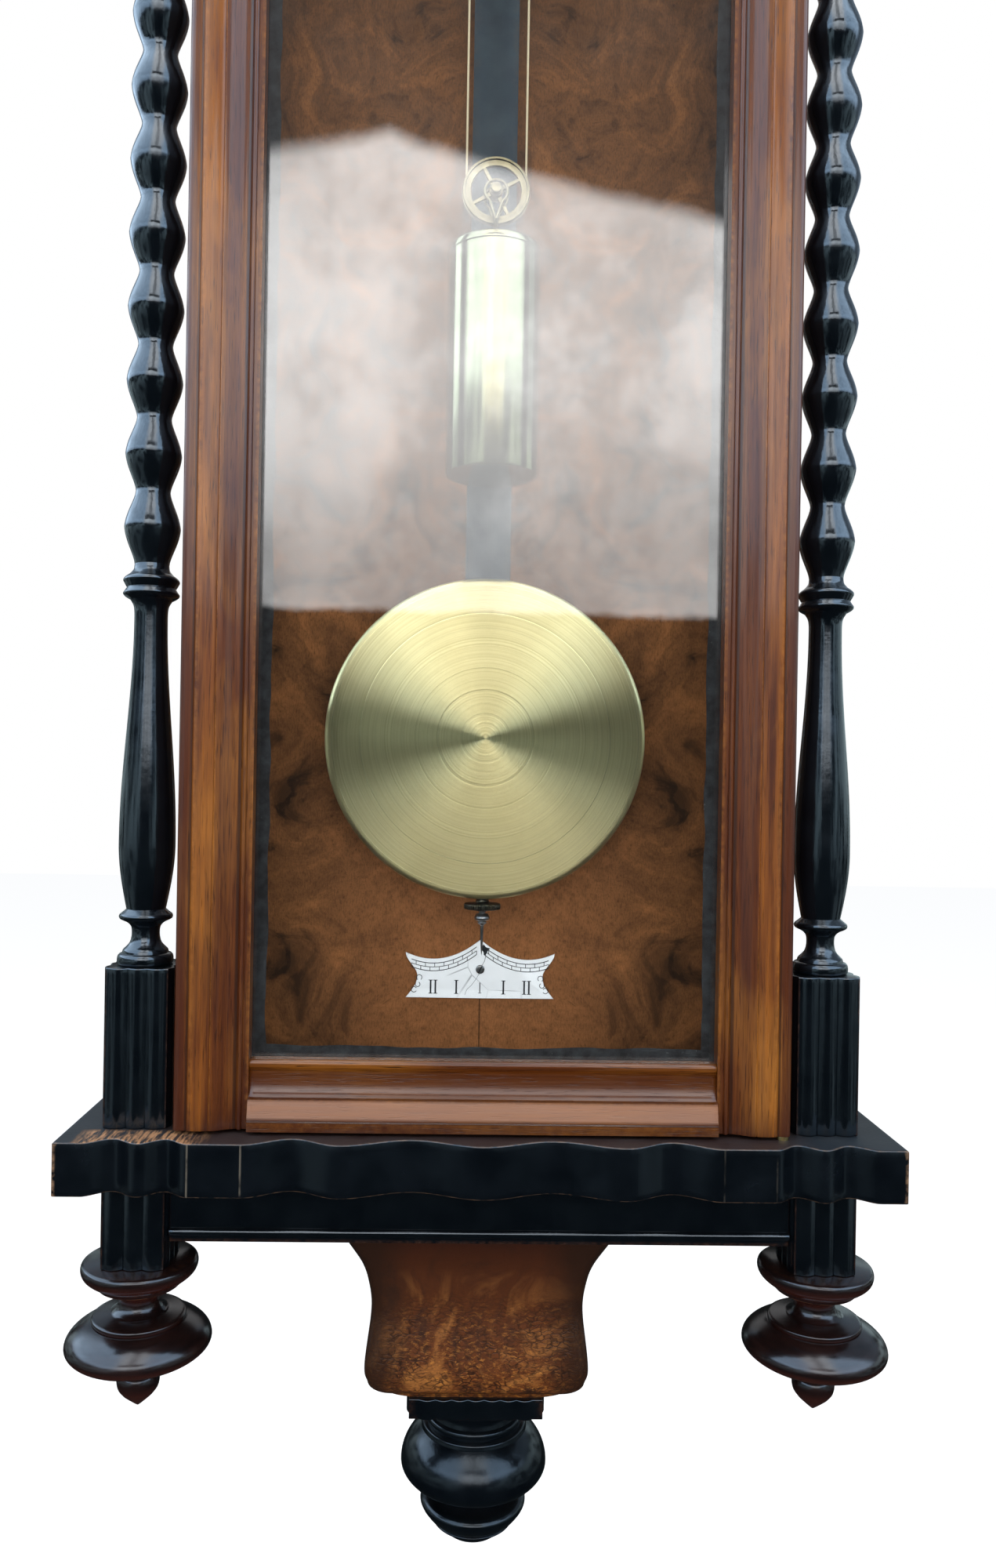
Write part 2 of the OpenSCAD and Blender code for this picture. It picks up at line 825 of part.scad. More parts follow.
dial_feet = [[30, -22], [-30, -22], [30, 28], [-30, 28]];
module dial() {
    color("white") difference() {
        union() {
            bar_out(0, dial_h, dial_r, dial_d, dial_d + dial_t);
            for (p = dial_feet)
                bar_out(p[0], dial_h + p[1], 1.6, front_plate_d, dial_d + 0.4);
        }
        bar_out(0, dial_h, 3.6, dial_d - 1, dial_d + 3);
        bar_out(0, escape_h, small_arbor_r + 0.6, dial_d - 1, dial_d + 3);
        bar_out(0, great_h, 5, dial_d - 1, dial_d + 3);
    }
}

module bezel() {
    front = dial_d + dial_t;
    color(gold)
        turned_out(0, dial_h)
            polygon([[dial_r - 2, front], [dial_r - 2, front + 2], [dial_r + 0.4, front + 5.2],
                [dial_r + 2.6, front + 5.8], [dial_r + 4.6, front + 4.6], [dial_r + 5.2, front + 1.6],
                [dial_r + 5.2, front - 1.6], [dial_r, front - 1.6], [dial_r, front]]);
}

// The long loop of the line, from the lug down under the pulley and up again
module gut_line() {
    color("wheat") {
        for (side = [-1, 1])
            translate([side * line_reach, -weight_d, pulley_h])
                cylinder(r = line_r, h = lug_low - pulley_h);
        translate([0, -weight_d, pulley_h])
            rotate([-90, 0, 0])
                rotate_extrude(angle = 180)
                    translate([line_reach, 0])
                        circle(r = line_r);
    }
}

// The line's two ends: one goes up to the drum and one is knotted over the lug
module line_ends() {
    color("wheat") {
        translate([-line_reach, -weight_d, lug_low])
            cylinder(r = line_r, h = great_h - lug_low);
        translate([line_reach, -weight_d, lug_low])
            cylinder(r = line_r, h = plate_low + 1.5 - lug_low);
        translate([line_reach, -weight_d, plate_low + 1.5])
            sphere(r = 1.5);
    }
}

// The moulded face of an upright, from its sight edge outwards, as width and depth
function stile_section() =
    let (f = door_front, s = sight_half, w = stile_w)
    concat(
        [[s, pane_d], [s, f - 4.6], [s + 2.8, f - 4.6]],
        arc([s + 3.9, f - 4.4], 1.1, 1.3, 180, 0, 6),
        [[s + 5.4, f - 4.8], [s + 6.8, f - 4]],
        [for (i = [1:10]) [s + 6.8 + (w - 23.4) * i / 10, f - 4 + blend(0, 3.6, i / 10)]],
        [[s + w - 16.2, f - 1.6], [s + w - 15.2, f - 0.6], [s + w - 11, f], [s + w - 7, f - 0.4]],
        [[s + w - 6.2, f - 1.8], [s + w - 5.2, f - 0.8]],
        arc([s + w - 3, f - 3.4], 3, 3, 90, 0, 6),
        [[s + w, door_back + 1.5], [s + w - 1.5, door_back]],
        [[s + rebate, door_back], [s + rebate, pane_d]]
    );

// The uprights run the whole height of the door and hold the pivots and the studs
module door_stile_right() {
    color(wood) difference() {
        upright(door_low, door_high)
            polygon(stile_section());
        translate([pivot_x, -pivot_d, door_low - 1])
            cylinder(r = pivot_r + 0.9, h = 13);
        translate([pivot_x, -pivot_d, door_high - 12])
            cylinder(r = pivot_r + 0.9, h = 13);
    }
}

module door_stile_left() {
    color(wood) difference() {
        mirror([1, 0, 0])
            upright(door_low, door_high)
                polygon(stile_section());
        for (h = latch_heights)
            translate([1 - door_half, -stud_d, h])
                rotate([0, -90, 0])
                    cylinder(r = stud_r, h = 3);
    }
}

// The moulded face of the lower rail, from its sight edge down, as depth and height
function rail_section() =
    let (f = door_front, top = door_low + rail_h)
    concat(
        [[pane_d, top], [f - 7.6, top]],
        arc([f - 7.6, top - 2.2], 2.2, 2.2, 90, -60, 6),
        [for (i = [1:8]) [f - 7.4 + 4 * (1 - cos(90 * i / 8)), top - 4.4 - 12.8 * sin(90 * i / 8)]],
        [[f - 2.6, top - 17.6], [f - 0.6, top - 26.8], [f, top - 27.2], [f, door_low], [door_back, door_low]],
        [[door_back, top - rebate], [pane_d, top - rebate]]
    );

module door_rail_bottom() {
    color(wood)
        across(-sight_half, sight_half)
            polygon(rail_section());
}

module door_rail_top() {
    color(wood)
        translate([0, 0, door_low + door_high])
            mirror([0, 0, 1])
                across(-sight_half, sight_half)
                    polygon(rail_section());
}

pane_half = sight_half + rebate;
pane_low = door_low + rail_h - rebate;
pane_high = door_high - rail_h + rebate;

module door_pane() {
    color("lightblue", 0.4)
        box(-pane_half, pane_half, pane_d - pane_t, pane_d, pane_low, pane_high);
}

// Putty behind the pane, wider than the rebate, sloped towards the glass
module glazing_beads() {
    back = pane_d - pane_t;
    side_in = sight_half - 6;
    low_in = door_low + rail_h + 5;
    high_in = door_high - rail_h - 5;
    color("gray") {
        both_sides()
            upright(pane_low, pane_high)
                polygon([[side_in, back], [pane_half, back], [pane_half, back - 4], [side_in + 5, back - 4]]);
        across(-side_in, side_in)
            polygon([[back, pane_low], [back, low_in], [back - 4, low_in - 5], [back - 4, pane_low]]);
        across(-side_in, side_in)
            polygon([[back, pane_high], [back, high_in], [back - 4, high_in + 5], [back - 4, pane_high]]);
    }
}

module door_bush(low, length) {
    translate([pivot_x, -pivot_d, low])
        difference() {
            cylinder(r = pivot_r + 0.9, h = length);
            translate([0, 0, -1])
                cylinder(r = pivot_r + run_gap, h = length + 2);
        }
}

module door_fittings() {
    color(gold) {
        door_bush(door_low, 12);
        door_bush(door_high - 12, 12);
        for (h = latch_heights)
            translate([1 - door_half, -stud_d, h])
                rotate([0, -90, 0])
                    cylinder(r = stud_r, h = 4.8);
    }
}

// Steel blade and brass block that the pendulum hangs by
module suspension_spring() {
    color(steel)
        box(-0.15, 0.15, swing_d - 3.6, swing_d + 3.6, swing_h - 20, swing_h);
    color(gold)
        box(-4.5, 4.5, swing_d - 3.6, swing_d + 3.6, rod_top, swing_h - 18);
}

slot_half = 1.1;
module pendulum_rod() {
    bevel = rod_w / 2 - 4.4;
    color("#23262b") difference() {
        upright(rod_low, rod_top)
            polygon([[-rod_w / 2, swing_d - rod_t / 2], [rod_w / 2, swing_d - rod_t / 2],
                [rod_w / 2, swing_d + rod_t / 2 - 1.6], [bevel, swing_d + rod_t / 2],
                [-bevel, swing_d + rod_t / 2], [-rod_w / 2, swing_d + rod_t / 2 - 1.6]]);
        box(-slot_half, slot_half, 0, swing_d + 20, swing_h - crutch_drop - 7, swing_h - crutch_drop + 7);
    }
}

// A turned brass disc, hollow where the rod goes down inside it
module pendulum_bob() {
    back = swing_d - bob_t / 2;
    color(gold) difference() {
        turned_out(0, bob_h)
            polygon(concat(
                [[0, back], [bob_r - 2, back], [bob_r, back + 2]],
                arc([bob_r - 3, bob_front - 3], 3, 3, 0, 80, 5),
                [for (i = [1:8]) [(bob_r - 3.5) * (1 - i / 8), bob_front + 2.2 * sin(90 * i / 8)]]
            ));
        box(-rod_w / 2 - 0.2, rod_w / 2 + 0.2, swing_d - rod_t / 2 - 0.2, swing_d + rod_t / 2 + 0.2,
            rod_low - part_gap, bob_h + bob_r + 1);
        translate([0, -swing_d, bob_h - bob_r - 1])
            cylinder(r = 1.6 + run_gap, h = 20);
    }
}

nut_h = bob_h - bob_r - 2.6;
module rating_nut() {
    color("#6d5a3a")
        translate([0, -swing_d, nut_h - 3])
            difference() {
                turned([[0, 0], [nut_r - 1, 0], [nut_r, 1], [nut_r, 2], [nut_r - 1, 3], [3.4, 3], [3.4, 5.2], [0, 5.2]]);
                translate([0, 0, -1])
                    cylinder(r = 1.6 + run_gap, h = 8);
            }
}

// Threaded rod, collar and needle, in one piece below the wooden rod
module beat_pointer() {
    tip = nut_h - 27.6;
    color(steel)
        translate([0, -swing_d, 0]) {
            translate([0, 0, nut_h - 8])
                cylinder(r = 1.6, h = rod_low - nut_h + 8);
            translate([0, 0, nut_h - 11])
                turned([[0, 0], [1.6, 0], [4, 3], [4, 5], [3, 6], [0, 6]]);
            translate([0, 0, tip])
                turned([[0, 0], [0.6, 6], [0.7, nut_h - 10.8 - tip], [0, nut_h - 10.8 - tip]]);
        }
}

module weight_shell() {
    color(gold)
        translate([0, -weight_d, weight_low])
            turned([[0, 0], [weight_r - 1, 0], [weight_r, 1], [weight_r, weight_l - 4], [weight_r + 0.5, weight_l - 3.4],
                [weight_r + 0.5, weight_l - 1], [weight_r - 0.4, weight_l], [0, weight_l]]);
}

pulley_t = 4;
leg_gap = pulley_t / 2 + 1.2;
module weight_stirrup() {
    wire = 0.9;
    foot = pulley_h - pulley_r - 2.6;
    color(gold) {
        for (side = [-1, 1])
            translate([0, side * leg_gap, 0]) {
                translate([0, -weight_d, foot])
                    cylinder(r = wire, h = pulley_h - 3 - foot);
                bar_out(0, pulley_h, 3.4, weight_d - wire, weight_d + wire);
            }
        bar_out(0, foot, wire, weight_d - leg_gap - wire, weight_d + leg_gap + wire);
        translate([0, -weight_d, weight_top])
            cylinder(r = 1.3, h = foot - weight_top);
        translate([0, -weight_d, weight_top])
            cylinder(r = 4, h = 1.6);
        bar_out(0, pulley_h, small_arbor_r, weight_d - leg_gap, weight_d + leg_gap);
    }
}

// A grooved rim on four spokes
module pulley() {
    groove_r = line_reach - line_r - 0.02;
    rim_in = groove_r - 1.6;
    color(gold)
        translate([0, -weight_d, pulley_h])
            rotate([90, 0, 0])
                difference() {
                    union() {
                        rotate_extrude()
                            polygon([[rim_in, -pulley_t / 2], [pulley_r, -pulley_t / 2], [pulley_r, 0.8 - pulley_t / 2],
                                [groove_r, -line_r - 0.1], [groove_r, line_r + 0.1],
                                [pulley_r, pulley_t / 2 - 0.8], [pulley_r, pulley_t / 2], [rim_in, pulley_t / 2]]);
                        cylinder(r = 3.2, h = pulley_t, center = true);
                        for (a = [45, 135])
                            rotate(a)
                                cube([2 * rim_in + 0.6, 1.8, 1.6], center = true);
                    }
                    cylinder(r = small_arbor_r + run_gap, h = 10, center = true);
                }
}

// A toothed outline: share is the part of each pitch that the tooth fills
function teeth(count, module_size, share, above, below) =
    let (half = 180 / count * share, pitch_r = module_size * count / 2)
    [for (k = [0:count - 1]) for (q = [[-1.15, -below], [-1, 0], [-0.5, above], [0.5, above], [1, 0], [1.15, -below]])
        (pitch_r + q[1] * module_size) * [sin(360 * k / count + q[0] * half), cos(360 * k / count + q[0] * half)]];

module wheel(count, module_size, arms) {
    root = module_size * (count / 2 - 1.25);
    rim = root - 2;
    difference() {
        polygon(teeth(count, module_size, 0.42, 0.85, 1.25));
        difference() {
            circle(r = rim);
            circle(r = 6);
            for (k = [0:arms - 1])
                rotate(360 * k / arms)
                    translate([-1.1, 0])
                        square([2.2, rim + 1]);
        }
    }
}

module pinion(count, module_size) {
    polygon(teeth(count, module_size, 0.36, 0.6, 1.3));
}

// Barrel for the line, turned by the weight, on the winding arbor
drum_r = line_reach - line_r - 0.02;
module drum() {
    color(gold)
        turned_out(0, great_h)
            polygon(concat(
                [[0, back_plate_d - plate_t - 1], [great_arbor_r, back_plate_d - plate_t - 1],
                    [great_arbor_r, drum_d - 1.4], [drum_r + 1.6, drum_d - 1.4], [drum_r + 1.6, drum_d]],
                [for (k = [0:13]) for (q = [[0, 0], [-0.5, 0.5], [0, 1]])
                    [drum_r + q[0], drum_d + (drum_l - 1.4) * (k + q[1]) / 14]],
                [[drum_r + 1.6, drum_d + drum_l - 1.4], [drum_r + 1.6, drum_d + drum_l],
                    [great_arbor_r, drum_d + drum_l], [great_arbor_r, front_plate_d + 1],
                    [2.2, front_plate_d + 1], [2.2, dial_d + dial_t], [0, dial_d + dial_t]]
            ));
}

module great_wheel() {
    color(gold)
        translate([0, 0, great_h])
            between_depths(great_d, great_d + wheel_t)
                difference() {
                    wheel(great_teeth, great_module, 6);
                    circle(r = great_arbor_r + run_gap);
                }
}

// Arbor, pinion and wheel that turn once an hour
module centre_wheel() {
    cannon_top = minute_hand_d - 0.4;
    to_third = atan2(third_x, third_up);
    color(gold)
        translate([0, 0, dial_h]) {
            between_depths(centre_d, centre_d + wheel_t)
                rotate(-to_third)
                    wheel(centre_teeth, centre_module, 5);
            between_depths(great_d - 1, great_d + wheel_t + 1)
                rotate(180 / centre_leaves)
                    pinion(centre_leaves, great_module);
        }
    color(steel) {
        bar_out(0, dial_h, centre_arbor_r, back_plate_d - plate_t - 1, cannon_top);
        bar_out(0, dial_h, 3.2, centre_d - 2, centre_d);
        translate([0, 0, dial_h])
            between_depths(motion_d, motion_d + 1.8)
                rotate(-90 + 180 / cannon_teeth)
                    pinion(cannon_teeth, motion_module);
    }
}

module third_wheel() {
    to_centre = atan2(-third_x, -third_up);
    to_escape = atan2(-third_x, escape_h - third_h);
    color(gold)
        translate([third_x, 0, third_h])
            between_depths(third_d, third_d + wheel_t)
                rotate(-to_escape)
                    wheel(third_teeth, third_module, 5);
    color(steel) {
        translate([third_x, 0, third_h])
            between_depths(centre_d - 1, centre_d + wheel_t + 1)
                rotate(-to_centre + 180 / third_leaves)
                    pinion(third_leaves, centre_module);
        bar_out(third_x, third_h, small_arbor_r, back_plate_d - plate_t - 0.6, front_plate_d + 0.6);
    }
}

// Thirty pointed teeth, leaning forwards
module escape_wheel() {
    to_third = atan2(third_x, third_h - escape_h);
    color(gold)
        translate([0, 0, escape_h])
            between_depths(escape_d, escape_d + 1.2)
                difference() {
                    polygon([for (k = [0:escape_teeth - 1]) for (q = [[-3.4, -2.8], [-0.3, 0], [0.3, 0], [2.2, -2.8]])
                        (escape_r + q[1]) * [sin(12 * k + q[0]), cos(12 * k + q[0])]]);
                    difference() {
                        circle(r = escape_r - 4.4);
                        circle(r = 3.2);
                        for (k = [0:4])
                            rotate(72 * k)
                                translate([-0.7, 0])
                                    square([1.4, escape_r]);
                    }
                }
    color(steel) {
        translate([0, 0, escape_h])
            between_depths(third_d - 1, third_d + wheel_t + 1)
                rotate(-to_third + 180 / escape_leaves)
                    pinion(escape_leaves, third_module);
        bar_out(0, escape_h, small_arbor_r, back_plate_d - plate_t - 0.6, seconds_hand_d + 0.4);
    }
}

module minute_wheel() {
    color(gold)
        translate([-motion_reach, 0, dial_h])
            difference() {
                union() {
                    between_depths(motion_d, motion_d + 1.2)
                        rotate(90)
                            mirror([1, 0])
                                polygon(teeth(minute_teeth, motion_module, 0.42, 0.85, 1.25));
                    between_depths(motion_d + 1.2, hour_d + 1.8)
                        rotate(90 + 180 / minute_leaves)
                            pinion(minute_leaves, hour_module);
                }
                rotate([90, 0, 0])
                    cylinder(r = small_arbor_r + run_gap, h = 2 * case_d);
            }
}

// The hour wheel turns on the cannon's pipe and carries the hour hand
module hour_wheel() {
    color(gold)
        translate([0, 0, dial_h])
            difference() {
                union() {
                    between_depths(hour_d, hour_d + 1.2)
                        rotate(90)
                            polygon(teeth(hour_teeth, hour_module, 0.42, 0.85, 1.25));
                    rotate([90, 0, 0])
                        translate([0, 0, hour_d])
                            cylinder(r = 3.1, h = hour_hand_d - hour_d);
                }
                rotate([90, 0, 0])
                    cylinder(r = centre_arbor_r + run_gap, h = 2 * case_d);
            }
}

// A hand with a pierced ring near its point, drawn upright
module hand_outline(length, ring_at, ring_r, boss, width) {
    difference() {
        union() {
            circle(r = boss);
            polygon([[-width / 2, 0], [width / 2, 0], [width / 3, length - 6], [0, length], [-width / 3, length - 6]]);
            translate([0, ring_at])
                circle(r = ring_r);
        }
        translate([0, ring_at])
            circle(r = ring_r - width * 0.6);
    }
}

minute_angle = -60;
hour_angle = 55;
module minute_hand() {
    color(steel)
        translate([0, 0, dial_h])
            between_depths(minute_hand_d, minute_hand_d + hand_t)
                rotate(minute_angle)
                    hand_outline(dial_r - 8, dial_r - 27, 5, 4.2, 2.4);
    color(gold)
        bar_out(0, dial_h, 2.4, minute_hand_d + hand_t, minute_hand_d + hand_t + 1.2);
    color(steel)
        bar_out(0, dial_h, centre_arbor_r, minute_hand_d - 0.4, minute_hand_d);
}

module hour_hand() {
    color(steel)
        translate([0, 0, dial_h])
            between_depths(hour_hand_d, hour_hand_d + hand_t)
                rotate(hour_angle)
                    difference() {
                        hand_outline(dial_r - 30, dial_r - 46, 6, 5.2, 2.8);
                        circle(r = centre_arbor_r + run_gap);
                    }
}

module seconds_hand() {
    color(steel)
        translate([0, 0, escape_h])
            between_depths(seconds_hand_d, seconds_hand_d + 0.4)
                difference() {
                    union() {
                        circle(r = 2);
                        polygon([[-0.7, -7], [0.7, -7], [0.35, 14.5], [-0.35, 14.5]]);
                    }
                    circle(r = small_arbor_r);
                }
}

// Arbor with the two pallets over the escape wheel, and the crutch that the rod moves
module pallet_arbor() {
    reach = escape_r / cos(pallet_span);
    tip_r = escape_r + 1;
    crutch_d = swing_d + rod_t / 2 + 3;
    color(steel) {
        bar_out(0, swing_h, small_arbor_r, crutch_d, front_plate_d + 0.6);
        translate([0, 0, escape_h])
            between_depths(escape_d - 0.6, escape_d + 1.8)
                difference() {
                    union() {
                        intersection() {
                            circle(r = tip_r + 3.4);
                            polygon([[0, 4], [-30, 4 + 30 * tan(90 - pallet_span)], [-30, 40], [30, 40],
                                [30, 4 + 30 * tan(90 - pallet_span)]]);
                        }
                        translate([0, reach])
                            circle(r = 3.4);
                        translate([-2.4, tip_r])
                            square([4.8, reach - tip_r]);
                    }
                    circle(r = tip_r);
                }
        box(-1.6, 1.6, crutch_d, crutch_d + 1.2, swing_h - crutch_drop - 2, swing_h + 2);
        bar_out(0, swing_h - crutch_drop, slot_half - 0.2, swing_d - rod_t / 2, crutch_d + 1.2);
    }
}

hung() backboard();
hung() hanger_plate();
hung() side_frame_left();
hung() side_frame_right();
hung() side_panes();
hung() shelf();
hung() apron_rails();
hung() bottom_bracket();
hung() bracket_cap();
hung() pendant();
hung() plinth_blocks();
hung() drop_blocks();
hung() top_blocks();
hung() column_left();
hung() column_right();
hung() drop_finial_left();
hung() drop_finial_right();
hung() cornice();
hung() crest();
hung() crest_finials();
hung() beat_plate();
hung() beat_plate_screw();
hung() door_pivots();
hung() latch_posts();
hung() seat_brackets();
hung() suspension_bracket();
hung() movement_plates();
hung() movement_pillars();
hung() dial();
hung() bezel();
hung() gut_line();
hung() line_ends();
hung() door_stile_left();
hung() door_stile_right();
hung() door_rail_top();
hung() door_rail_bottom();
hung() door_pane();
hung() glazing_beads();
hung() door_fittings();
hung() latch_hook_upper();
hung() latch_hook_lower();
hung() suspension_spring();
hung() pendulum_rod();
hung() pendulum_bob();
hung() rating_nut();
hung() beat_pointer();
hung() weight_shell();
hung() weight_stirrup();
hung() pulley();
hung() drum();
hung() great_wheel();
hung() centre_wheel();
hung() minute_hand();
hung() hour_wheel();
hung() hour_hand();
hung() minute_wheel();
hung() third_wheel();
hung() escape_wheel();
hung() seconds_hand();
hung() pallet_arbor();
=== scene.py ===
"""A weight-driven wall clock of the Vienna kind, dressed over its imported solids.

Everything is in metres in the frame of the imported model: the origin is the hole that the
clock hangs by, the wall is the plane y = 0, and -y comes out towards the reader.
"""
import math
from math import cos, pi, radians, sin

import bmesh
import bpy
from mathutils import Matrix, Vector, noise


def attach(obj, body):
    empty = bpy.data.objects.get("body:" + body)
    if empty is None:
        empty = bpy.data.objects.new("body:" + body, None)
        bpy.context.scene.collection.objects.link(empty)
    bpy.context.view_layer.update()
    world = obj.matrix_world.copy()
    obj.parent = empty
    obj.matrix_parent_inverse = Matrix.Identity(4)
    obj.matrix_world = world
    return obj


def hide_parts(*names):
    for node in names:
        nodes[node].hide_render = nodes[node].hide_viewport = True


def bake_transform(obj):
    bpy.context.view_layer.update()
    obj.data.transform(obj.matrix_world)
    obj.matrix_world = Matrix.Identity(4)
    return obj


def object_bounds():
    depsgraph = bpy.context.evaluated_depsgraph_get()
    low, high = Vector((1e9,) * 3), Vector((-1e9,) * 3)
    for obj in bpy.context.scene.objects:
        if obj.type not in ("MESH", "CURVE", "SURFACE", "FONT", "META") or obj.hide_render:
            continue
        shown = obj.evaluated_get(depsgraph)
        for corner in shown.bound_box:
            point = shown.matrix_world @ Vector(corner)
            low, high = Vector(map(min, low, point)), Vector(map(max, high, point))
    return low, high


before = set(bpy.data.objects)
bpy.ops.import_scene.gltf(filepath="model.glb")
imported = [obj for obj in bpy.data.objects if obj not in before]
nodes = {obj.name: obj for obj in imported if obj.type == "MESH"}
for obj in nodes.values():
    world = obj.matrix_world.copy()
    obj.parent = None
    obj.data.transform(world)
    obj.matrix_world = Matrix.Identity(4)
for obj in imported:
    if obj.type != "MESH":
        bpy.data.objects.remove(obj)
solid_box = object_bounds()

# ---------------------------------------------------------------- camera
# The camera stands close, level with the lower half of the door, with a wide lens
# that is turned a little to the right and tilted by one degree.
turn, rise, roll = radians(1.19), radians(0.05), radians(0.96)
ahead = Vector((sin(turn) * cos(rise), cos(turn) * cos(rise), sin(rise)))
level = Vector((cos(turn), -sin(turn), 0))
above = level.cross(ahead)
right = level * cos(roll) + above * sin(roll)
upright = above * cos(roll) - level * sin(roll)
camera_data = bpy.data.cameras.new("camera")
camera_data.lens = 26
camera_data.sensor_width = 36
camera_data.shift_x = 0.013
camera_data.clip_start = 0.01
camera = bpy.data.objects.new("camera", camera_data)
camera.matrix_world = Matrix((
    (right.x, upright.x, -ahead.x, -0.0159),
    (right.y, upright.y, -ahead.y, -0.6418),
    (right.z, upright.z, -ahead.z, -0.6878),
    (0, 0, 0, 1)))
bpy.context.scene.collection.objects.link(camera)
bpy.context.scene.camera = camera
bpy.context.scene.view_settings.view_transform = "Standard"


# ---------------------------------------------------------------- daylight and floor
# Overcast daylight: one broad panel of sky in front, a higher one and two weak ones at
# the sides, over a pale floor. A soft one inside the case is what its glass lets in.
def put(tree, kind, inputs=None, **settings):
    """One node, with its settings, and its inputs given as values or as sockets to link."""
    node = tree.nodes.new(kind)
    for key, value in settings.items():
        setattr(node, key, value)
    for key, value in (inputs or {}).items():
        if isinstance(value, bpy.types.NodeSocket):
            tree.links.new(value, node.inputs[key])
        else:
            node.inputs[key].default_value = value
    return node


def maths(tree, operation, *values):
    return put(tree, "ShaderNodeMath", dict(enumerate(values)), operation=operation).outputs[0]


def seen_directly(tree):
    """1 for what is seen, also by way of glass or a gloss, and 0 for what lights a dull surface."""
    path = put(tree, "ShaderNodeLightPath")
    sharp = maths(tree, "MAXIMUM", path.outputs["Is Camera Ray"], path.outputs["Is Glossy Ray"])
    sharp = maths(tree, "MAXIMUM", sharp, path.outputs["Is Transmission Ray"])
    first = maths(tree, "LESS_THAN", path.outputs["Diffuse Depth"], 0.5)
    return maths(tree, "MULTIPLY", sharp, first)


world = bpy.data.worlds.new("pale_room")
bpy.context.scene.world = world
world.use_nodes = True
tree = world.node_tree
tree.nodes.clear()
soft = put(tree, "ShaderNodeBackground", {"Color": (0.93, 0.96, 1, 1), "Strength": 0.42})
white = put(tree, "ShaderNodeBackground", {"Color": (1, 1, 1, 1), "Strength": 1})
both = put(tree, "ShaderNodeMixShader", {0: seen_directly(tree), 1: soft.outputs[0],
                                         2: white.outputs[0]})
put(tree, "ShaderNodeOutputWorld", {"Surface": both.outputs[0]})


def sky_panel(name, middle, size, looks_at, brightness, colour):
    lamp = bpy.data.lights.new(name, "AREA")
    lamp.shape = "RECTANGLE"
    lamp.size, lamp.size_y = size
    lamp.energy = brightness * pi * size[0] * size[1]
    lamp.color = colour
    obj = bpy.data.objects.new(name, lamp)
    middle = Vector(middle)
    turned_to = (Vector(looks_at) - middle).to_track_quat("-Z", "Y").to_matrix().to_4x4()
    obj.matrix_world = Matrix.Translation(middle) @ turned_to
    obj.visible_camera = obj.visible_glossy = obj.visible_transmission = False
    bpy.context.scene.collection.objects.link(obj)
    return obj


sky_panel("sky_front", (0, -3, -0.15), (3.2, 2.1), (0, 0, -0.15), 3.4, (0.90, 0.96, 1))
inside = sky_panel("sky_inside", (0, -0.1045, -0.555), (0.20, 0.61), (0, 0, -0.555), 1.0,
                   (0.97, 0.98, 1))
inside.visible_transmission = True
sky_panel("sky_high", (0, -2.0, 2.6), (3.4, 1.8), (0, -0.1, -0.5), 1.6, (0.86, 0.94, 1))
sky_panel("sky_left", (-2.9, -1.5, 0.2), (2.0, 2.2), (0, -0.1, -0.5), 1.1, (0.95, 0.98, 1))
sky_panel("sky_right", (2.9, -1.5, 0.2), (2.0, 2.2), (0, -0.1, -0.5), 1.1, (0.95, 0.98, 1))


def flat_card(name, corners, material):
    mesh = bpy.data.meshes.new(name)
    mesh.from_pydata(corners, [], [(0, 1, 2, 3)])
    mesh.materials.append(material)
    obj = bpy.data.objects.new(name, mesh)
    bpy.context.scene.collection.objects.link(obj)
    return obj


pale = bpy.data.materials.new("pale_floor")
pale.use_nodes = True
tree = pale.node_tree
tree.nodes.clear()
matt = put(tree, "ShaderNodeBsdfDiffuse", {"Color": (0.86, 0.86, 0.86, 1)})
glow = put(tree, "ShaderNodeEmission", {"Color": (1, 1, 1, 1)})
tree.links.new(maths(tree, "MULTIPLY", seen_directly(tree), 0.62), glow.inputs["Strength"])
both = put(tree, "ShaderNodeAddShader", {0: matt.outputs[0], 1: glow.outputs[0]})
put(tree, "ShaderNodeOutputMaterial", {"Surface": both.outputs[0]})
flat_card("floor", [(-9, -9, -1.5), (9, -9, -1.5), (9, 9, -1.5), (-9, 9, -1.5)], pale)

# What shiny surfaces mirror: a round wall of bright sky over dark ground, with an eave
# and treetops against it, dim on the three other sides. Only glossy rays meet it.
def times(tree, a, b):
    return maths(tree, "MULTIPLY", a, b)


def plus(tree, a, b):
    return maths(tree, "ADD", a, b)


def soft_step(tree, value, low, high, out_low=0.0, out_high=1.0):
    return put(tree, "ShaderNodeMapRange", {0: value, 1: low, 2: high, 3: out_low, 4: out_high},
               interpolation_type="SMOOTHSTEP").outputs[0]


mirrored = bpy.data.materials.new("mirrored_sky")
mirrored.use_nodes = True
tree = mirrored.node_tree
tree.nodes.clear()
point = put(tree, "ShaderNodeTexCoord").outputs["Object"]
x, y, z = put(tree, "ShaderNodeSeparateXYZ", {0: point}).outputs
off_middle = maths(tree, "ABSOLUTE", x)
bearing = maths(tree, "ARCTAN2", x, times(tree, y, -1.0))
leafy = put(tree, "ShaderNodeTexNoise", {"Vector": point, "Scale": 2.2, "Detail": 6.0,
                                         "Roughness": 0.62}).outputs["Fac"]
open_sky = times(tree, soft_step(tree, bearing, -2.45, -2.05, 0.12, 1.0),
                 soft_step(tree, bearing, 1.35, 1.65, 1.0, 0.12))
aside = maths(tree, "MINIMUM", maths(tree, "ABSOLUTE", plus(tree, x, 0.3)), 1.3)
eave = plus(tree, plus(tree, z, times(tree, aside, 0.30)), times(tree, leafy, 0.12))
eave = times(tree, soft_step(tree, eave, 1.86, 1.95), soft_step(tree, z, 2.95, 2.55))
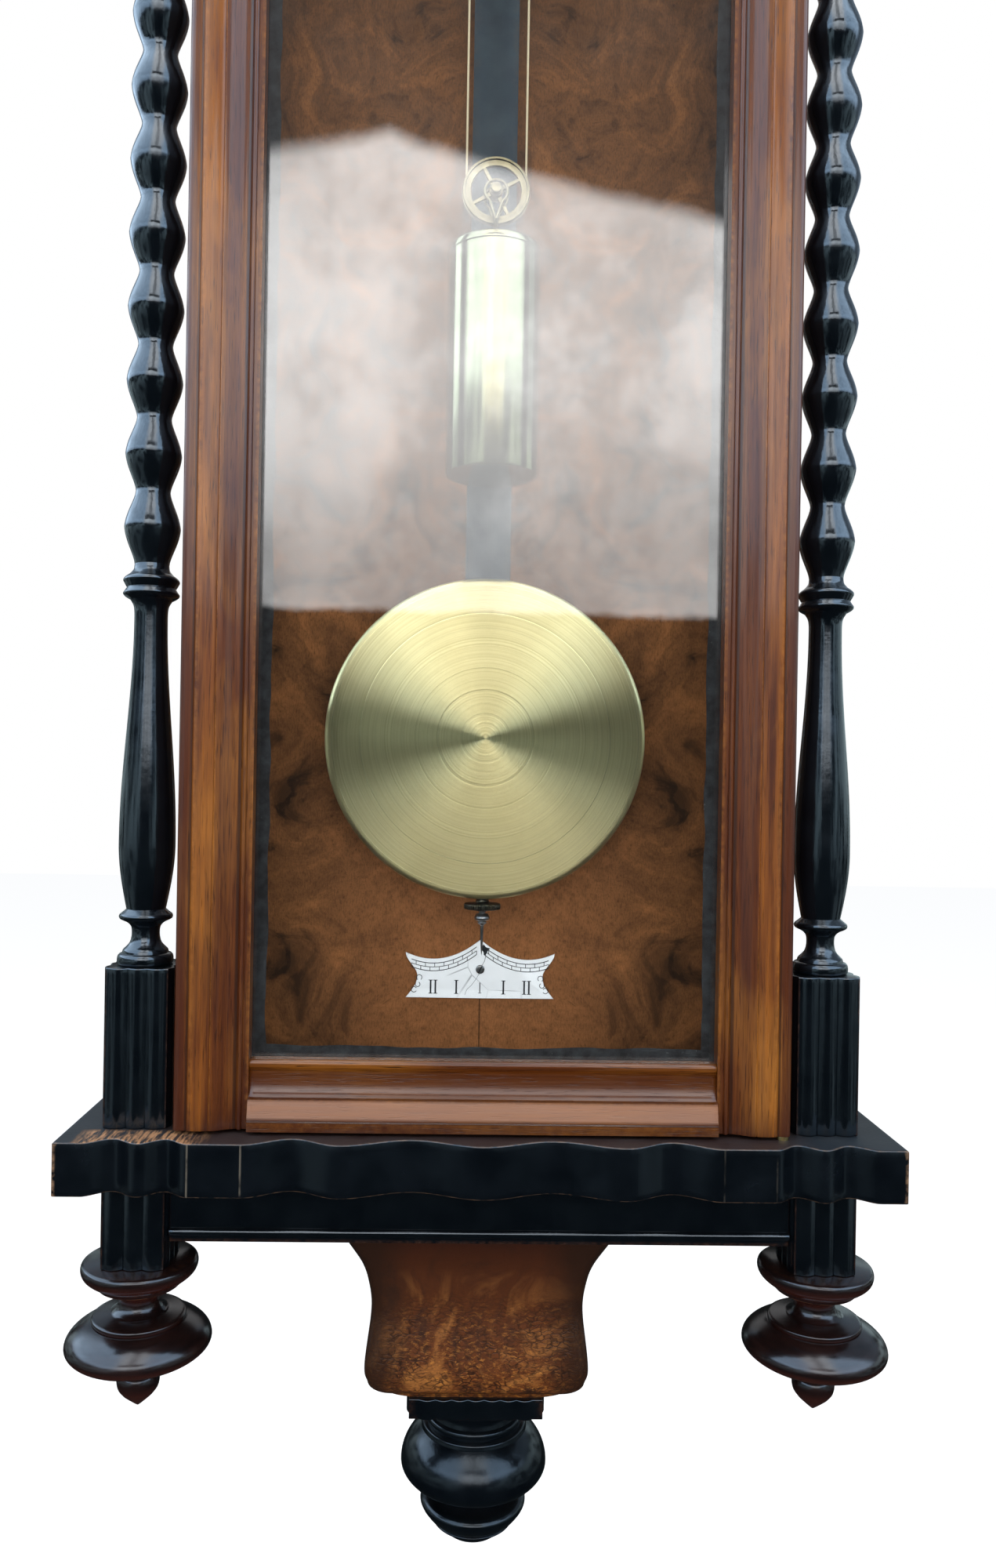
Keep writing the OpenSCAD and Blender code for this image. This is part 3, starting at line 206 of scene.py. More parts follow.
eave = times(tree, eave, soft_step(tree, off_middle, 1.6, 1.2))
eave = times(tree, eave, soft_step(tree, y, 0.0, -1.0))
trunk = times(tree, soft_step(tree, off_middle, 0.55, 0.25), soft_step(tree, z, 2.3, 2.7))
trunk = times(tree, trunk, soft_step(tree, y, 0.0, -0.5, 0.0, 0.6))
shade = maths(tree, "SUBTRACT", 1.0, maths(tree, "MAXIMUM", times(tree, eave, 0.95), trunk))
middle_part = soft_step(tree, off_middle, 2.2, 1.0)
haze = times(tree, soft_step(tree, z, 0.0, 0.9, 0.50, 1.0), soft_step(tree, z, 1.1, 1.8, 1.0, 0.85))
clouds = soft_step(tree, leafy, 0.35, 0.65, 0.72, 1.10)
bright = times(tree, times(tree, open_sky, shade), times(tree, haze, clouds))
bright = times(tree, bright, plus(tree, times(tree, middle_part, 0.7), 5.2))
hue = put(tree, "ShaderNodeMix", {}, data_type="RGBA")
hue.inputs["A"].default_value = (0.62, 0.80, 1.0, 1)
hue.inputs["B"].default_value = (0.97, 0.96, 0.955, 1)
tree.links.new(middle_part, hue.inputs["Factor"])
light_up = put(tree, "ShaderNodeEmission", {"Color": hue.outputs["Result"], "Strength": bright})
broad = put(tree, "ShaderNodeTexNoise",
            {"Vector": point, "Scale": 1.4, "Detail": 3.0}).outputs["Fac"]
patches = times(tree, soft_step(tree, broad, 0.44, 0.56, 0.0, 1.1),
                soft_step(tree, z, -1.35, -0.3, 0.35, 1.0))
patches = plus(tree, times(tree, patches, soft_step(tree, off_middle, 1.15, 1.7)), 0.02)
ground = put(tree, "ShaderNodeEmission", {"Color": (0.75, 0.95, 1.0, 1), "Strength": patches})
treetops = plus(tree, z, times(tree, leafy, 0.10))
far_trees = times(tree, soft_step(tree, off_middle, 1.5, 2.0), 0.26)
above_edge = soft_step(tree, maths(tree, "SUBTRACT", treetops, far_trees), 0.015, 0.055)
both = put(tree, "ShaderNodeMixShader",
           {0: above_edge, 1: ground.outputs[0], 2: light_up.outputs[0]})
clear_air = put(tree, "ShaderNodeBsdfTransparent")
gloss_path = maths(tree, "GREATER_THAN", put(tree, "ShaderNodeLightPath").outputs["Glossy Depth"],
                   0.5)
both = put(tree, "ShaderNodeMixShader", {0: gloss_path, 1: clear_air.outputs[0],
                                         2: both.outputs[0]})
put(tree, "ShaderNodeOutputMaterial", {"Surface": both.outputs[0]})

rows = [(0.0, -1.44), (4.0, -1.44), (4.0, -0.4), (4.0, -0.05), (4.0, 0.15), (4.0, 1.0), (4.0, 2.4),
        (3.5, 4.0), (2.4, 5.0), (0.0, 5.6)]
sides = 48
points, faces = [], []
for r, h in rows:
    points += [(r * sin(2 * pi * i / sides), -r * cos(2 * pi * i / sides), h) for i in range(sides)]
for j in range(len(rows) - 1):
    for i in range(sides):
        k = (i + 1) % sides
        faces.append((j * sides + i, j * sides + k, (j + 1) * sides + k, (j + 1) * sides + i))
mesh = bpy.data.meshes.new("mirrored_surroundings")
mesh.from_pydata(points, [], faces)
mesh.materials.append(mirrored)
mirrored.cycles.emission_sampling = "NONE"
surroundings = bpy.data.objects.new("mirrored_surroundings", mesh)
bpy.context.scene.collection.objects.link(surroundings)
surroundings.visible_camera = surroundings.visible_diffuse = False
surroundings.visible_shadow = surroundings.visible_volume_scatter = False


# ---------------------------------------------------------------- backboard
# One wide board the height of the case, faced with burr walnut in two leaves that
# mirror each other about the middle. Its edges and its back are plain wood.
def start_finish(name):
    material = bpy.data.materials.new(name)
    material.use_nodes = True
    return material, material.node_tree, material.node_tree.nodes["Principled BSDF"]


def add_socket(tree, label, kind, value=None, in_out="INPUT"):
    socket = tree.interface.new_socket(name=label, in_out=in_out, socket_type="NodeSocket" + kind)
    if value is not None:
        socket.default_value = value


def new_group(name, inputs, outputs):
    """A shader group with named inputs and outputs, and its two end nodes."""
    group = bpy.data.node_groups.new(name, "ShaderNodeTree")
    for label, kind, value in inputs:
        add_socket(group, label, kind, value)
    for label, kind in outputs:
        add_socket(group, label, kind, in_out="OUTPUT")
    return group, group.nodes.new("NodeGroupInput"), group.nodes.new("NodeGroupOutput")


def use_group(tree, group, inputs):
    node = tree.nodes.new("ShaderNodeGroup")
    node.node_tree = group
    for key, value in inputs.items():
        if isinstance(value, bpy.types.NodeSocket):
            tree.links.new(value, node.inputs[key])
        else:
            node.inputs[key].default_value = value
    return node


def vector_maths(tree, operation, a, b):
    return put(tree, "ShaderNodeVectorMath", {0: a, 1: b}, operation=operation).outputs[0]


def scaled(tree, vector, factors):
    return vector_maths(tree, "MULTIPLY", vector, factors)


def speckle(tree, vector, scale, detail=3.0, rough=0.5, warp=0.0):
    return put(tree, "ShaderNodeTexNoise", {"Vector": vector, "Scale": scale, "Detail": detail,
                                            "Roughness": rough, "Distortion": warp}).outputs["Fac"]


def stretch(tree, value, low, high, out_low=0.0, out_high=1.0):
    """The value spread from low..high to out_low..out_high, and held there."""
    return put(tree, "ShaderNodeMapRange", {0: value, 1: low, 2: high, 3: out_low,
                                            4: out_high}).outputs[0]


def part_of(tree, vector, letter):
    return put(tree, "ShaderNodeSeparateXYZ", {0: vector}).outputs[letter]


def facing_up(tree):
    """1 where the surface looks straight up, and -1 where it looks straight down."""
    return part_of(tree, put(tree, "ShaderNodeNewGeometry").outputs["Normal"], "Z")


def tint(tree, share, a, b):
    """Colour a where share is 0 and b where it is 1; each is a colour or a socket."""
    node = tree.nodes.new("ShaderNodeMix")
    node.data_type = "RGBA"
    for key, value in (("Factor", share), ("A", a), ("B", b)):
        socket = [s for s in node.inputs if s.name == key and s.enabled][0]
        if isinstance(value, bpy.types.NodeSocket):
            tree.links.new(value, socket)
        else:
            socket.default_value = value if key == "Factor" else (*value, 1)
    return [s for s in node.outputs if s.enabled][0]


def raise_surface(tree, shader, height, depth, strength=1.0):
    bump = put(tree, "ShaderNodeBump", {"Height": height, "Distance": depth, "Strength": strength})
    tree.links.new(bump.outputs[0], shader.inputs["Normal"])


def own_place(tree):
    return put(tree, "ShaderNodeTexCoord").outputs["Object"]


burr_figure, enter, leave = new_group(
    "burr_figure", [("Vector", "Vector", None), ("Swirl", "Float", 16.0)],
    [("Dark", "Float"), ("Warm", "Float"), ("Pores", "Float")])
g = burr_figure
place_in = enter.outputs["Vector"]
drift = put(g, "ShaderNodeTexNoise",
            {"Vector": place_in, "Scale": 11.0, "Detail": 2.0}).outputs["Color"]
drift = vector_maths(g, "SUBTRACT", drift, (0.5, 0.5, 0.5))
drift = scaled(g, drift, (0.11, 0.11, 0.11))
bent = vector_maths(g, "ADD", place_in, drift)
swirls = put(g, "ShaderNodeTexNoise", {"Vector": bent, "Scale": enter.outputs["Swirl"],
                                       "Detail": 6.0, "Roughness": 0.62,
                                       "Distortion": 1.7}).outputs["Fac"]
bands = put(g, "ShaderNodeTexWave", {"Vector": bent, "Scale": 19.0, "Distortion": 9.0,
                                     "Detail": 4.0, "Detail Scale": 2.2,
                                     "Detail Roughness": 0.62}).outputs["Fac"]
lines = times(g, stretch(g, bands, 0.55, 1.0), stretch(g, swirls, 0.62, 0.4))
g.links.new(plus(g, stretch(g, swirls, 0.48, 0.32), times(g, lines, 0.5)), leave.inputs["Dark"])
g.links.new(stretch(g, swirls, 0.52, 0.66), leave.inputs["Warm"])
fine = scaled(g, bent, (1.0, 1.0, 0.16))
g.links.new(stretch(g, speckle(g, fine, 1500.0, 2.0), 0.60, 0.72), leave.inputs["Pores"])

settled_dust, enter, leave = new_group(
    "settled_dust", [("Vector", "Vector", None), ("Amount", "Float", 0.5)],
    [("Mask", "Float")])
g = settled_dust
faces_up = facing_up(g)
patchy = stretch(g, speckle(g, enter.outputs["Vector"], 90.0, 4.0), 0.3, 0.75)
g.links.new(times(g, times(g, stretch(g, faces_up, 0.6, 0.95), patchy), enter.outputs["Amount"]),
            leave.inputs["Mask"])

burr, tree, wood = start_finish("burr_walnut_board")
spot = own_place(tree)
split = put(tree, "ShaderNodeSeparateXYZ", {0: spot})
mirror_x = maths(tree, "ABSOLUTE", split.outputs["X"])
leaf = put(tree, "ShaderNodeCombineXYZ",
           {"X": mirror_x, "Y": 0.37, "Z": split.outputs["Z"]}).outputs[0]
figure = use_group(tree, burr_figure, {"Vector": leaf, "Swirl": 15.0})
colour = tint(tree, figure.outputs["Warm"], (0.175, 0.073, 0.026), (0.300, 0.122, 0.040))
colour = tint(tree, times(tree, figure.outputs["Dark"], 0.80), colour, (0.026, 0.0135, 0.0070))
low_middle = times(tree, stretch(tree, split.outputs["Z"], -0.60, -0.78),
                   stretch(tree, mirror_x, 0.105, 0.03))
colour = tint(tree, times(tree, low_middle, 0.55), colour, (0.42, 0.165, 0.055))
fine_way = scaled(tree, leaf, (1.0, 1.0, 0.30))
specks = stretch(tree, speckle(tree, fine_way, 1300.0, 4.0, 0.7), 0.46, 0.68, 0.0, 0.5)
colour = tint(tree, specks, colour, (0.040, 0.017, 0.008))
mottle = stretch(tree, speckle(tree, leaf, 210.0, 6.0, 0.72), 0.48, 0.68, 0.0, 0.38)
colour = tint(tree, mottle, colour, (0.060, 0.026, 0.010))
colour = tint(tree, times(tree, figure.outputs["Pores"], 0.35), colour, (0.012, 0.006, 0.003))
seam = times(tree, stretch(tree, mirror_x, 0.0006, 0.0002), 0.7)
colour = tint(tree, seam, colour, (0.01, 0.005, 0.003))
on_face = stretch(tree, split.outputs["Y"], -0.0190, -0.0196)
long_way = scaled(tree, spot, (1.0, 1.0, 0.06))
plain = tint(tree, speckle(tree, long_way, 260.0, 5.0), (0.16, 0.085, 0.038), (0.30, 0.17, 0.08))
plain = tint(tree, stretch(tree, speckle(tree, spot, 5.0, 5.0), 0.45, 0.8, 0.0, 0.6), plain,
             (0.10, 0.055, 0.028))
tree.links.new(tint(tree, on_face, plain, colour), wood.inputs["Base Color"])
tree.links.new(stretch(tree, on_face, 0, 1, 0.75, 0.46), wood.inputs["Roughness"])
wood.inputs["Specular IOR Level"].default_value = 0.06
raise_surface(tree, wood, figure.outputs["Dark"], 0.00004)


def dress_node(name, *finishes):
    """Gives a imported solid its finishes; its mesh is left alone."""
    data = nodes[name].data
    data.materials.clear()
    for finish in finishes:
        data.materials.append(finish)


dress_node("backboard", burr)


# ---------------------------------------------------------------- hanger
# An iron plate with a round hole, let in flush at the top of the back and held by
# two screws. The iron is rolled, dark and a little rusty at the edges.
def iron_finish(name, base, rust, rough):
    material, tree, metal = start_finish(name)
    spot = own_place(tree)
    patches = stretch(tree, speckle(tree, spot, 210.0, 6.0, 0.65), 0.52, 0.72)
    tree.links.new(tint(tree, patches, base, rust), metal.inputs["Base Color"])
    tree.links.new(stretch(tree, patches, 0, 1, rough, rough + 0.25), metal.inputs["Roughness"])
    metal.inputs["Metallic"].default_value = 0.85
    raise_surface(tree, metal, speckle(tree, spot, 900.0, 4.0), 0.00006)
    return material


iron = iron_finish("rolled_iron", (0.035, 0.035, 0.037), (0.075, 0.035, 0.018), 0.45)
dress_node("hanger_plate", iron)
dress_node("seat_brackets", iron)


# ---------------------------------------------------------------- case sides
# A frame of two uprights and two rails on each side, in polished walnut, holds a
# pane of thin glass.
long_grain, enter, leave = new_group(
    "long_grain", [("Vector", "Vector", None), ("Across", "Float", 300.0)],
    [("Streak", "Float"), ("Cloud", "Float"), ("Pores", "Float")])
g = long_grain
line = vector_maths(g, "MULTIPLY", enter.outputs["Vector"], (1.0, 1.0, 0.035))
g.links.new(speckle(g, line, enter.outputs["Across"], 6.0, 0.6, 0.15), leave.inputs["Streak"])
cloud = scaled(g, enter.outputs["Vector"], (1.0, 1.0, 0.35))
g.links.new(speckle(g, cloud, 26.0, 3.0, 0.55, 0.8), leave.inputs["Cloud"])
dash = scaled(g, enter.outputs["Vector"], (1.0, 1.0, 0.045))
g.links.new(stretch(g, speckle(g, dash, 1900.0, 2.0, 0.4), 0.60, 0.70), leave.inputs["Pores"])

handled_edges, enter, leave = new_group(
    "handled_edges", [("Vector", "Vector", None), ("Amount", "Float", 0.5)],
    [("Mask", "Float")])
g = handled_edges
rim = put(g, "ShaderNodeAttribute", attribute_name="edge").outputs["Fac"]
patchy = stretch(g, speckle(g, enter.outputs["Vector"], 260.0, 6.0, 0.7), 0.40, 0.66)
g.links.new(times(g, times(g, stretch(g, rim, 0.30, 0.75), patchy), enter.outputs["Amount"]),
            leave.inputs["Mask"])


def distance_from(tree, value, line):
    return maths(tree, "ABSOLUTE", maths(tree, "SUBTRACT", value, line))


def walnut_finish(name, along, deep, warm, light, gloss=0.30, shine=0.28, painted_cove_band=None, runs=False):
    """Polished long-grained wood; along is the turn that brings the grain upright."""
    material, tree, wood = start_finish(name)
    spot = own_place(tree)
    turned_spot = put(tree, "ShaderNodeMapping", {"Vector": spot, "Rotation": along}).outputs[0]
    grain = use_group(tree, long_grain, {"Vector": turned_spot, "Across": 330.0})
    edges = use_group(tree, handled_edges, {"Vector": spot, "Amount": 0.75})
    fine_lines = speckle(tree, scaled(tree, turned_spot, (1.0, 1.0, 0.022)), 1500.0, 4.0, 0.65)
    streak = stretch(tree, grain.outputs["Streak"], 0.34, 0.66)
    colour = tint(tree, streak, deep, warm)
    colour = tint(tree, times(tree, stretch(tree, grain.outputs["Cloud"], 0.46, 0.74), 0.8), colour,
                  light)
    colour = tint(tree, stretch(tree, fine_lines, 0.47, 0.66, 0.0, 0.62), colour,
                  (deep[0] * 0.45, deep[1] * 0.42, deep[2] * 0.5))
    colour = tint(tree, times(tree, grain.outputs["Pores"], 0.75), colour,
                  (deep[0] * 0.18, deep[1] * 0.18, deep[2] * 0.2))
    colour = tint(tree, times(tree, edges.outputs["Mask"], 0.5), colour,
                  (light[0] * 1.5, light[1] * 1.6, light[2] * 2.0))
    at_height = part_of(tree, spot, "Z")
    foot = stretch(tree, plus(tree, at_height, times(tree, grain.outputs["Streak"], 0.012)), -0.828,
                   -0.842)
    colour = tint(tree, times(tree, foot, 0.7), colour, (0.035, 0.010, 0.006))
    # Painted light on the level rails: painted shade in the cove under the top bead, a painted
    # sheen on the slope below it, and a darker band along the edge just under the slope.
    if painted_cove_band:
        cove_painted_shade = times(tree, stretch(tree, at_height, painted_cove_band[0], painted_cove_band[1]),
                         stretch(tree, at_height, painted_cove_band[3], painted_cove_band[2]))
        colour = tint(tree, times(tree, cove_painted_shade, 0.7), colour,
                      (deep[0] * 0.7, deep[1] * 0.6, deep[2] * 0.5))
        slope_painted_sheen = times(tree, stretch(tree, at_height, -0.8412, -0.8400),
                             stretch(tree, at_height, -0.8322, -0.8336))
        colour = tint(tree, times(tree, slope_painted_sheen, 0.55), colour, (0.40, 0.205, 0.130))
        under_slope = times(tree, stretch(tree, at_height, -0.8426, -0.8421),
                            stretch(tree, at_height, -0.8413, -0.8417))
        colour = tint(tree, times(tree, under_slope, 0.8), colour, (0.030, 0.009, 0.004))
    # Painted light across the door's moulding: a painted highlight, broken by the grain, on the
    # broad flat band; painted shade on the outer bead and, more lightly, on the ogee and the inner
    # bead; and painted shade as dark lines in the two grooves.
    if runs:
        from_middle = maths(tree, "ABSOLUTE", part_of(tree, spot, "X"))
        ragged = plus(tree, from_middle, times(tree, grain.outputs["Streak"], 0.0022))
        flat_run = times(tree, stretch(tree, ragged, 0.1242, 0.1268),
                         stretch(tree, ragged, 0.1374, 0.1356))
        flat_painted_highlight = plus(tree, times(tree, grain.outputs["Streak"], 0.5), times(tree, fine_lines, 0.5))
        flat_painted_highlight = times(tree, flat_run, stretch(tree, flat_painted_highlight, 0.44, 0.64, 0.0, 0.50))
        colour = tint(tree, flat_painted_highlight, colour, (0.32, 0.100, 0.011))
        moulding_painted_shade = plus(tree, stretch(tree, ragged, 0.1360, 0.1378),
                        times(tree, stretch(tree, ragged, 0.1256, 0.1232), 0.55))
        colour = tint(tree, times(tree, moulding_painted_shade, 0.75), colour, (0.050, 0.011, 0.004))
        for line, half_w in ((0.1137, 0.0007), (0.1350, 0.0005)):
            off = distance_from(tree, from_middle, line)
            colour = tint(tree, stretch(tree, off, half_w * 1.4, half_w * 0.6, 0.0, 0.75), colour,
                          (0.020, 0.006, 0.003))
    tree.links.new(colour, wood.inputs["Base Color"])
    tree.links.new(stretch(tree, streak, 0, 1, gloss + 0.08, gloss - 0.04),
                   wood.inputs["Roughness"])
    wood.inputs["Specular IOR Level"].default_value = shine
    wood.inputs["Coat Weight"].default_value = 0.30
    wood.inputs["Coat Roughness"].default_value = 0.09
    rough_height = plus(tree, times(tree, grain.outputs["Pores"], -0.7),
                        times(tree, grain.outputs["Streak"], 0.3))
    raise_surface(tree, wood, rough_height, 0.00009)
    return material


walnut_up = walnut_finish("walnut_upright", (0, 0, 0), (0.058, 0.0125, 0.0028),
                          (0.170, 0.049, 0.0075), (0.36, 0.130, 0.016))
# The last four heights bound the cove that gets the painted shade.
walnut_level = walnut_finish("walnut_level", (0, radians(90), 0), (0.060, 0.0125, 0.0018),
                             (0.135, 0.035, 0.0042), (0.27, 0.092, 0.010), 0.24, 0.30,
                             (-0.8345, -0.831, -0.8215, -0.8185))
# runs adds the painted light across the mouldings of the door's uprights.
walnut_door = walnut_finish("walnut_door", (0, 0, 0), (0.055, 0.0115, 0.0025),
                            (0.145, 0.038, 0.005), (0.36, 0.130, 0.016), runs=True)
dress_node("side_frame_left", walnut_up)
dress_node("side_frame_right", walnut_up)

glass = bpy.data.materials.new("old_window_glass")
glass.use_nodes = True
tree = glass.node_tree
pane = tree.nodes["Principled BSDF"]
pane.inputs["Base Color"].default_value = (0.985, 0.995, 0.99, 1)
pane.inputs["Transmission Weight"].default_value = 1
pane.inputs["Roughness"].default_value = 0
pane.inputs["IOR"].default_value = 1.64
ripple = speckle(tree, own_place(tree), 7.0, 2.0)
raise_surface(tree, pane, ripple, 0.0004, 0.5)
clear = put(tree, "ShaderNodeBsdfTransparent", {"Color": (1, 1, 1, 1)})
shadow = put(tree, "ShaderNodeLightPath").outputs["Is Shadow Ray"]
both = put(tree, "ShaderNodeMixShader", {0: shadow, 1: pane.outputs[0], 2: clear.outputs[0]})
tree.links.new(both.outputs[0], tree.nodes["Material Output"].inputs["Surface"])
dress_node("side_panes", glass)
dress_node("door_pane", glass)


# ---------------------------------------------------------------- shelf and cornice
# Two thick boards of the same plan, sawn to a wave along the front and stained
# black. The shelf's top is rubbed through to red-brown wood between the blocks.
hanger_h, case_h = 848, 867


def place(x, depth, height):
    """Mm from the middle, out of the wall and up from the shelf's top, as a point in metres."""
    return Vector((x / 1000, -depth / 1000, (height - hanger_h) / 1000))


def facing_round(outline):
    area = sum(a[0] * b[1] - b[0] * a[1] for a, b in zip(outline, outline[1:] + outline[:1]))
    return outline if area > 0 else outline[::-1]


def drawn_in(outline, cut):
    """The outline moved in by cut, square to its sides."""
    result = []
    count = len(outline)
    for i in range(count):
        a, p, b = Vector(outline[i - 1]), Vector(outline[i]), Vector(outline[(i + 1) % count])
        first, second = (p - a).normalized(), (b - p).normalized()
        inward = Vector((-first.y, first.x)) + Vector((-second.y, second.x))
        if inward.length < 1e-6:
            inward = Vector((-first.y, first.x))
        inward.normalize()
        lean = max(0.5, inward.dot(Vector((-first.y, first.x))))
        result.append(tuple(p + inward * cut / lean))
    return result


def near_corners(outline, reach):
    """The outline with a point on each side of every sharp corner, to keep wear close to it."""
    result = []
    count = len(outline)
    for i in range(count):
        a, p, b = Vector(outline[i - 1]), Vector(outline[i]), Vector(outline[(i + 1) % count])
        sharp = (p - a).angle(b - p, 0) > radians(25)
        if sharp and (p - a).length > reach * 2.5:
            result.append(tuple(p + (a - p).normalized() * reach))
        result.append(tuple(p))
        if sharp and (b - p).length > reach * 2.5:
            result.append(tuple(p + (b - p).normalized() * reach))
    return result


def ring_faces(count, levels):
    """The faces between stacked rings of count points, and one over each end."""
    faces = []
    for j in range(levels - 1):
        for i in range(count):
            k = (i + 1) % count
            faces.append((j * count + i, j * count + k, (j + 1) * count + k, (j + 1) * count + i))
    return faces + [tuple(range(count))[::-1], tuple(range((levels - 1) * count, levels * count))]


def slab(outline, low, high, at, rim=0.5, steps=3, inset=0.0, reach=2.4):
    """A board of the outline's plan between low and high, with its edges rounded by rim."""
    outline = facing_round([p for i, p in enumerate(outline)
                            if (Vector(p) - Vector(outline[i - 1])).length > 1e-4])
    outline = near_corners(outline, reach)
    levels = [(rim + inset, low)] if inset else []
    for i in range(steps + 1):
        a = pi / 2 * i / steps
        levels.append((rim * (1 - sin(a)), low + rim * (1 - cos(a))))
    if high - low > 3 * (rim + reach):
        levels.append((0.0, low + rim + reach))
    levels += [(cut, low + high - h) for cut, h in levels[::-1]]
    points = [at(p[0], p[1], h) for cut, h in levels for p in drawn_in(outline, cut)]
    return points, ring_faces(len(outline), len(levels)), None


def flat_way(x, depth, h):
    """For a plan seen from above, built up in height."""
    return place(x, depth, h)


def together(*shapes):
    points, faces, uvs = [], [], []
    for more_points, more_faces, more_uvs in shapes:
        base = len(points)
        points += more_points
        faces += [tuple(base + i for i in face) for face in more_faces]
        uvs += more_uvs or [[(0.0, 0.0)] * len(face) for face in more_faces]
    return points, faces, uvs


def mark_edges(work):
    """Each corner keeps how sharply the surface bends outwards there, for the wear."""
    layer = work.verts.layers.float.new("edge")
    for edge in work.edges:
        if len(edge.link_faces) == 2:
            bend = min(1.0, max(0.0, edge.calc_face_angle_signed(0.0)) / 1.1)
            for corner in edge.verts:
                corner[layer] = max(corner[layer], bend)


def finish_piece(name, mesh, finish, body, stands_for, sharp):
    """Merges doubles, marks the edges for wear and hands the piece to its body and slot."""
    work = bmesh.new()
    work.from_mesh(mesh)
    bmesh.ops.remove_doubles(work, verts=work.verts, dist=2e-6)
    bmesh.ops.recalc_face_normals(work, faces=work.faces)
    mark_edges(work)
    work.to_mesh(mesh)
    work.free()
    mesh.shade_smooth()
    mesh.set_sharp_from_angle(angle=radians(sharp))
    mesh.materials.append(finish)
    obj = bpy.data.objects.new(name, mesh)
    bpy.context.scene.collection.objects.link(obj)
    if body:
        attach(obj, body)
    if stands_for:
        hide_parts(*stands_for)
    return obj


def make_piece(name, shape, finish, body, stands_for=(), sharp=34):
    points, faces, uvs = shape
    mesh = bpy.data.meshes.new(name)
    mesh.from_pydata([tuple(p) for p in points], [], faces)
    if uvs:
        layer = mesh.uv_layers.new(name="turning")
        layer.data.foreach_set("uv", [c for face in uvs for corner in face for c in corner])
    return finish_piece(name, mesh, finish, body, stands_for, sharp)


def black_finish(name, base=(0.0014, 0.0023, 0.0036), gloss=0.12, worn=(0.055, 0.020, 0.009),
                 wear=0.6, shine=0.78, dust=0.03):
    """Black stain under shellac, rubbed through to wood on its edges."""
    material, tree, polish = start_finish(name)
    spot = own_place(tree)
    edges = use_group(tree, handled_edges, {"Vector": spot, "Amount": wear})
    dusty = use_group(tree, settled_dust, {"Vector": spot, "Amount": dust})
    cloudy = speckle(tree, spot, 60.0, 4.0, 0.6)
    colour = tint(tree, stretch(tree, cloudy, 0.35, 0.7), base,
                  (base[0] * 1.9, base[1] * 1.8, base[2] * 1.6))
    colour = tint(tree, edges.outputs["Mask"], colour, worn)
    colour = tint(tree, dusty.outputs["Mask"], colour, (0.16, 0.15, 0.14))
    tree.links.new(colour, polish.inputs["Base Color"])
    dull = plus(tree, stretch(tree, cloudy, 0.3, 0.75, gloss - 0.03, gloss + 0.09),
                times(tree, edges.outputs["Mask"], 0.25))
    tree.links.new(plus(tree, dull, times(tree, dusty.outputs["Mask"], 1.5)),
                   polish.inputs["Roughness"])
    polish.inputs["Specular IOR Level"].default_value = shine
    polish.inputs["Specular Tint"].default_value = (0.78, 0.89, 1, 1)
    fine = scaled(tree, spot, (1.0, 1.0, 0.12))
    raise_surface(tree, polish, plus(tree, speckle(tree, fine, 800.0, 3.0),
                                     times(tree, cloudy, 2.5)), 0.00005)
    return material


ebonised = black_finish("ebonised_polish")
ebonised_shelf, tree, polish = start_finish("ebonised_shelf")
spot = own_place(tree)
edges = use_group(tree, handled_edges, {"Vector": spot, "Amount": 1.3})
dusty = use_group(tree, settled_dust, {"Vector": spot, "Amount": 0.04})
cloudy = speckle(tree, spot, 45.0, 4.0, 0.6)
across = scaled(tree, spot, (0.05, 1.0, 1.0))
fibres = speckle(tree, across, 900.0, 5.0, 0.6)
faces_up = facing_up(tree)
split = put(tree, "ShaderNodeSeparateXYZ", {0: spot})
width = maths(tree, "ABSOLUTE", split.outputs["X"])
between = stretch(tree, plus(tree, width, times(tree, fibres, 0.03)), 0.166, 0.150)
lower_board = stretch(tree, split.outputs["Z"], -0.5, -0.7)
bare = times(tree, times(tree, stretch(tree, faces_up, 0.5, 0.8), between), lower_board)
colour = tint(tree, stretch(tree, cloudy, 0.35, 0.7), (0.0012, 0.0020, 0.0032),
              (0.0028, 0.0042, 0.0060))
colour = tint(tree, times(tree, bare, stretch(tree, fibres, 0.25, 0.55, 0.55, 1.0)), colour,
              (0.013, 0.0042, 0.0026))
at_left = times(tree, stretch(tree, split.outputs["X"], -0.122, -0.136),
                stretch(tree, split.outputs["X"], -0.183, -0.176))
ticks = speckle(tree, scaled(tree, spot, (1.0, 0.12, 1.0)), 620.0, 4.0, 0.7)
at_front = stretch(tree, split.outputs["Y"], -0.1205, -0.1240)
streaks = times(tree, stretch(tree, ticks, 0.44, 0.58), times(tree, at_left, at_front))
streaks = times(tree, times(tree, streaks, lower_board), stretch(tree, faces_up, 0.5, 0.8))
colour = tint(tree, streaks, colour, (0.62, 0.32, 0.16))
for line in (0.1075, 0.1310):
    off = distance_from(tree, width, line)
    joint = times(tree, stretch(tree, off, 0.00055, 0.00025),
                  stretch(tree, speckle(tree, spot, 160.0, 4.0), 0.36, 0.56))
    joint = times(tree, joint, stretch(tree, split.outputs["X"], -0.05, 0.05, 0.42, 0.08))
    colour = tint(tree, times(tree, joint, stretch(tree, faces_up, 0.5, 0.3)), colour,
                  (0.20, 0.17, 0.13))
rim_only = times(tree, edges.outputs["Mask"], stretch(tree, faces_up, 0.985, 0.90))
colour = tint(tree, rim_only, colour, (0.20, 0.115, 0.065))
colour = tint(tree, dusty.outputs["Mask"], colour, (0.18, 0.16, 0.14))
tree.links.new(colour, polish.inputs["Base Color"])
rough = plus(tree, stretch(tree, cloudy, 0.3, 0.75, 0.17, 0.30),
             times(tree, stretch(tree, faces_up, 0.5, 0.8), 0.30))
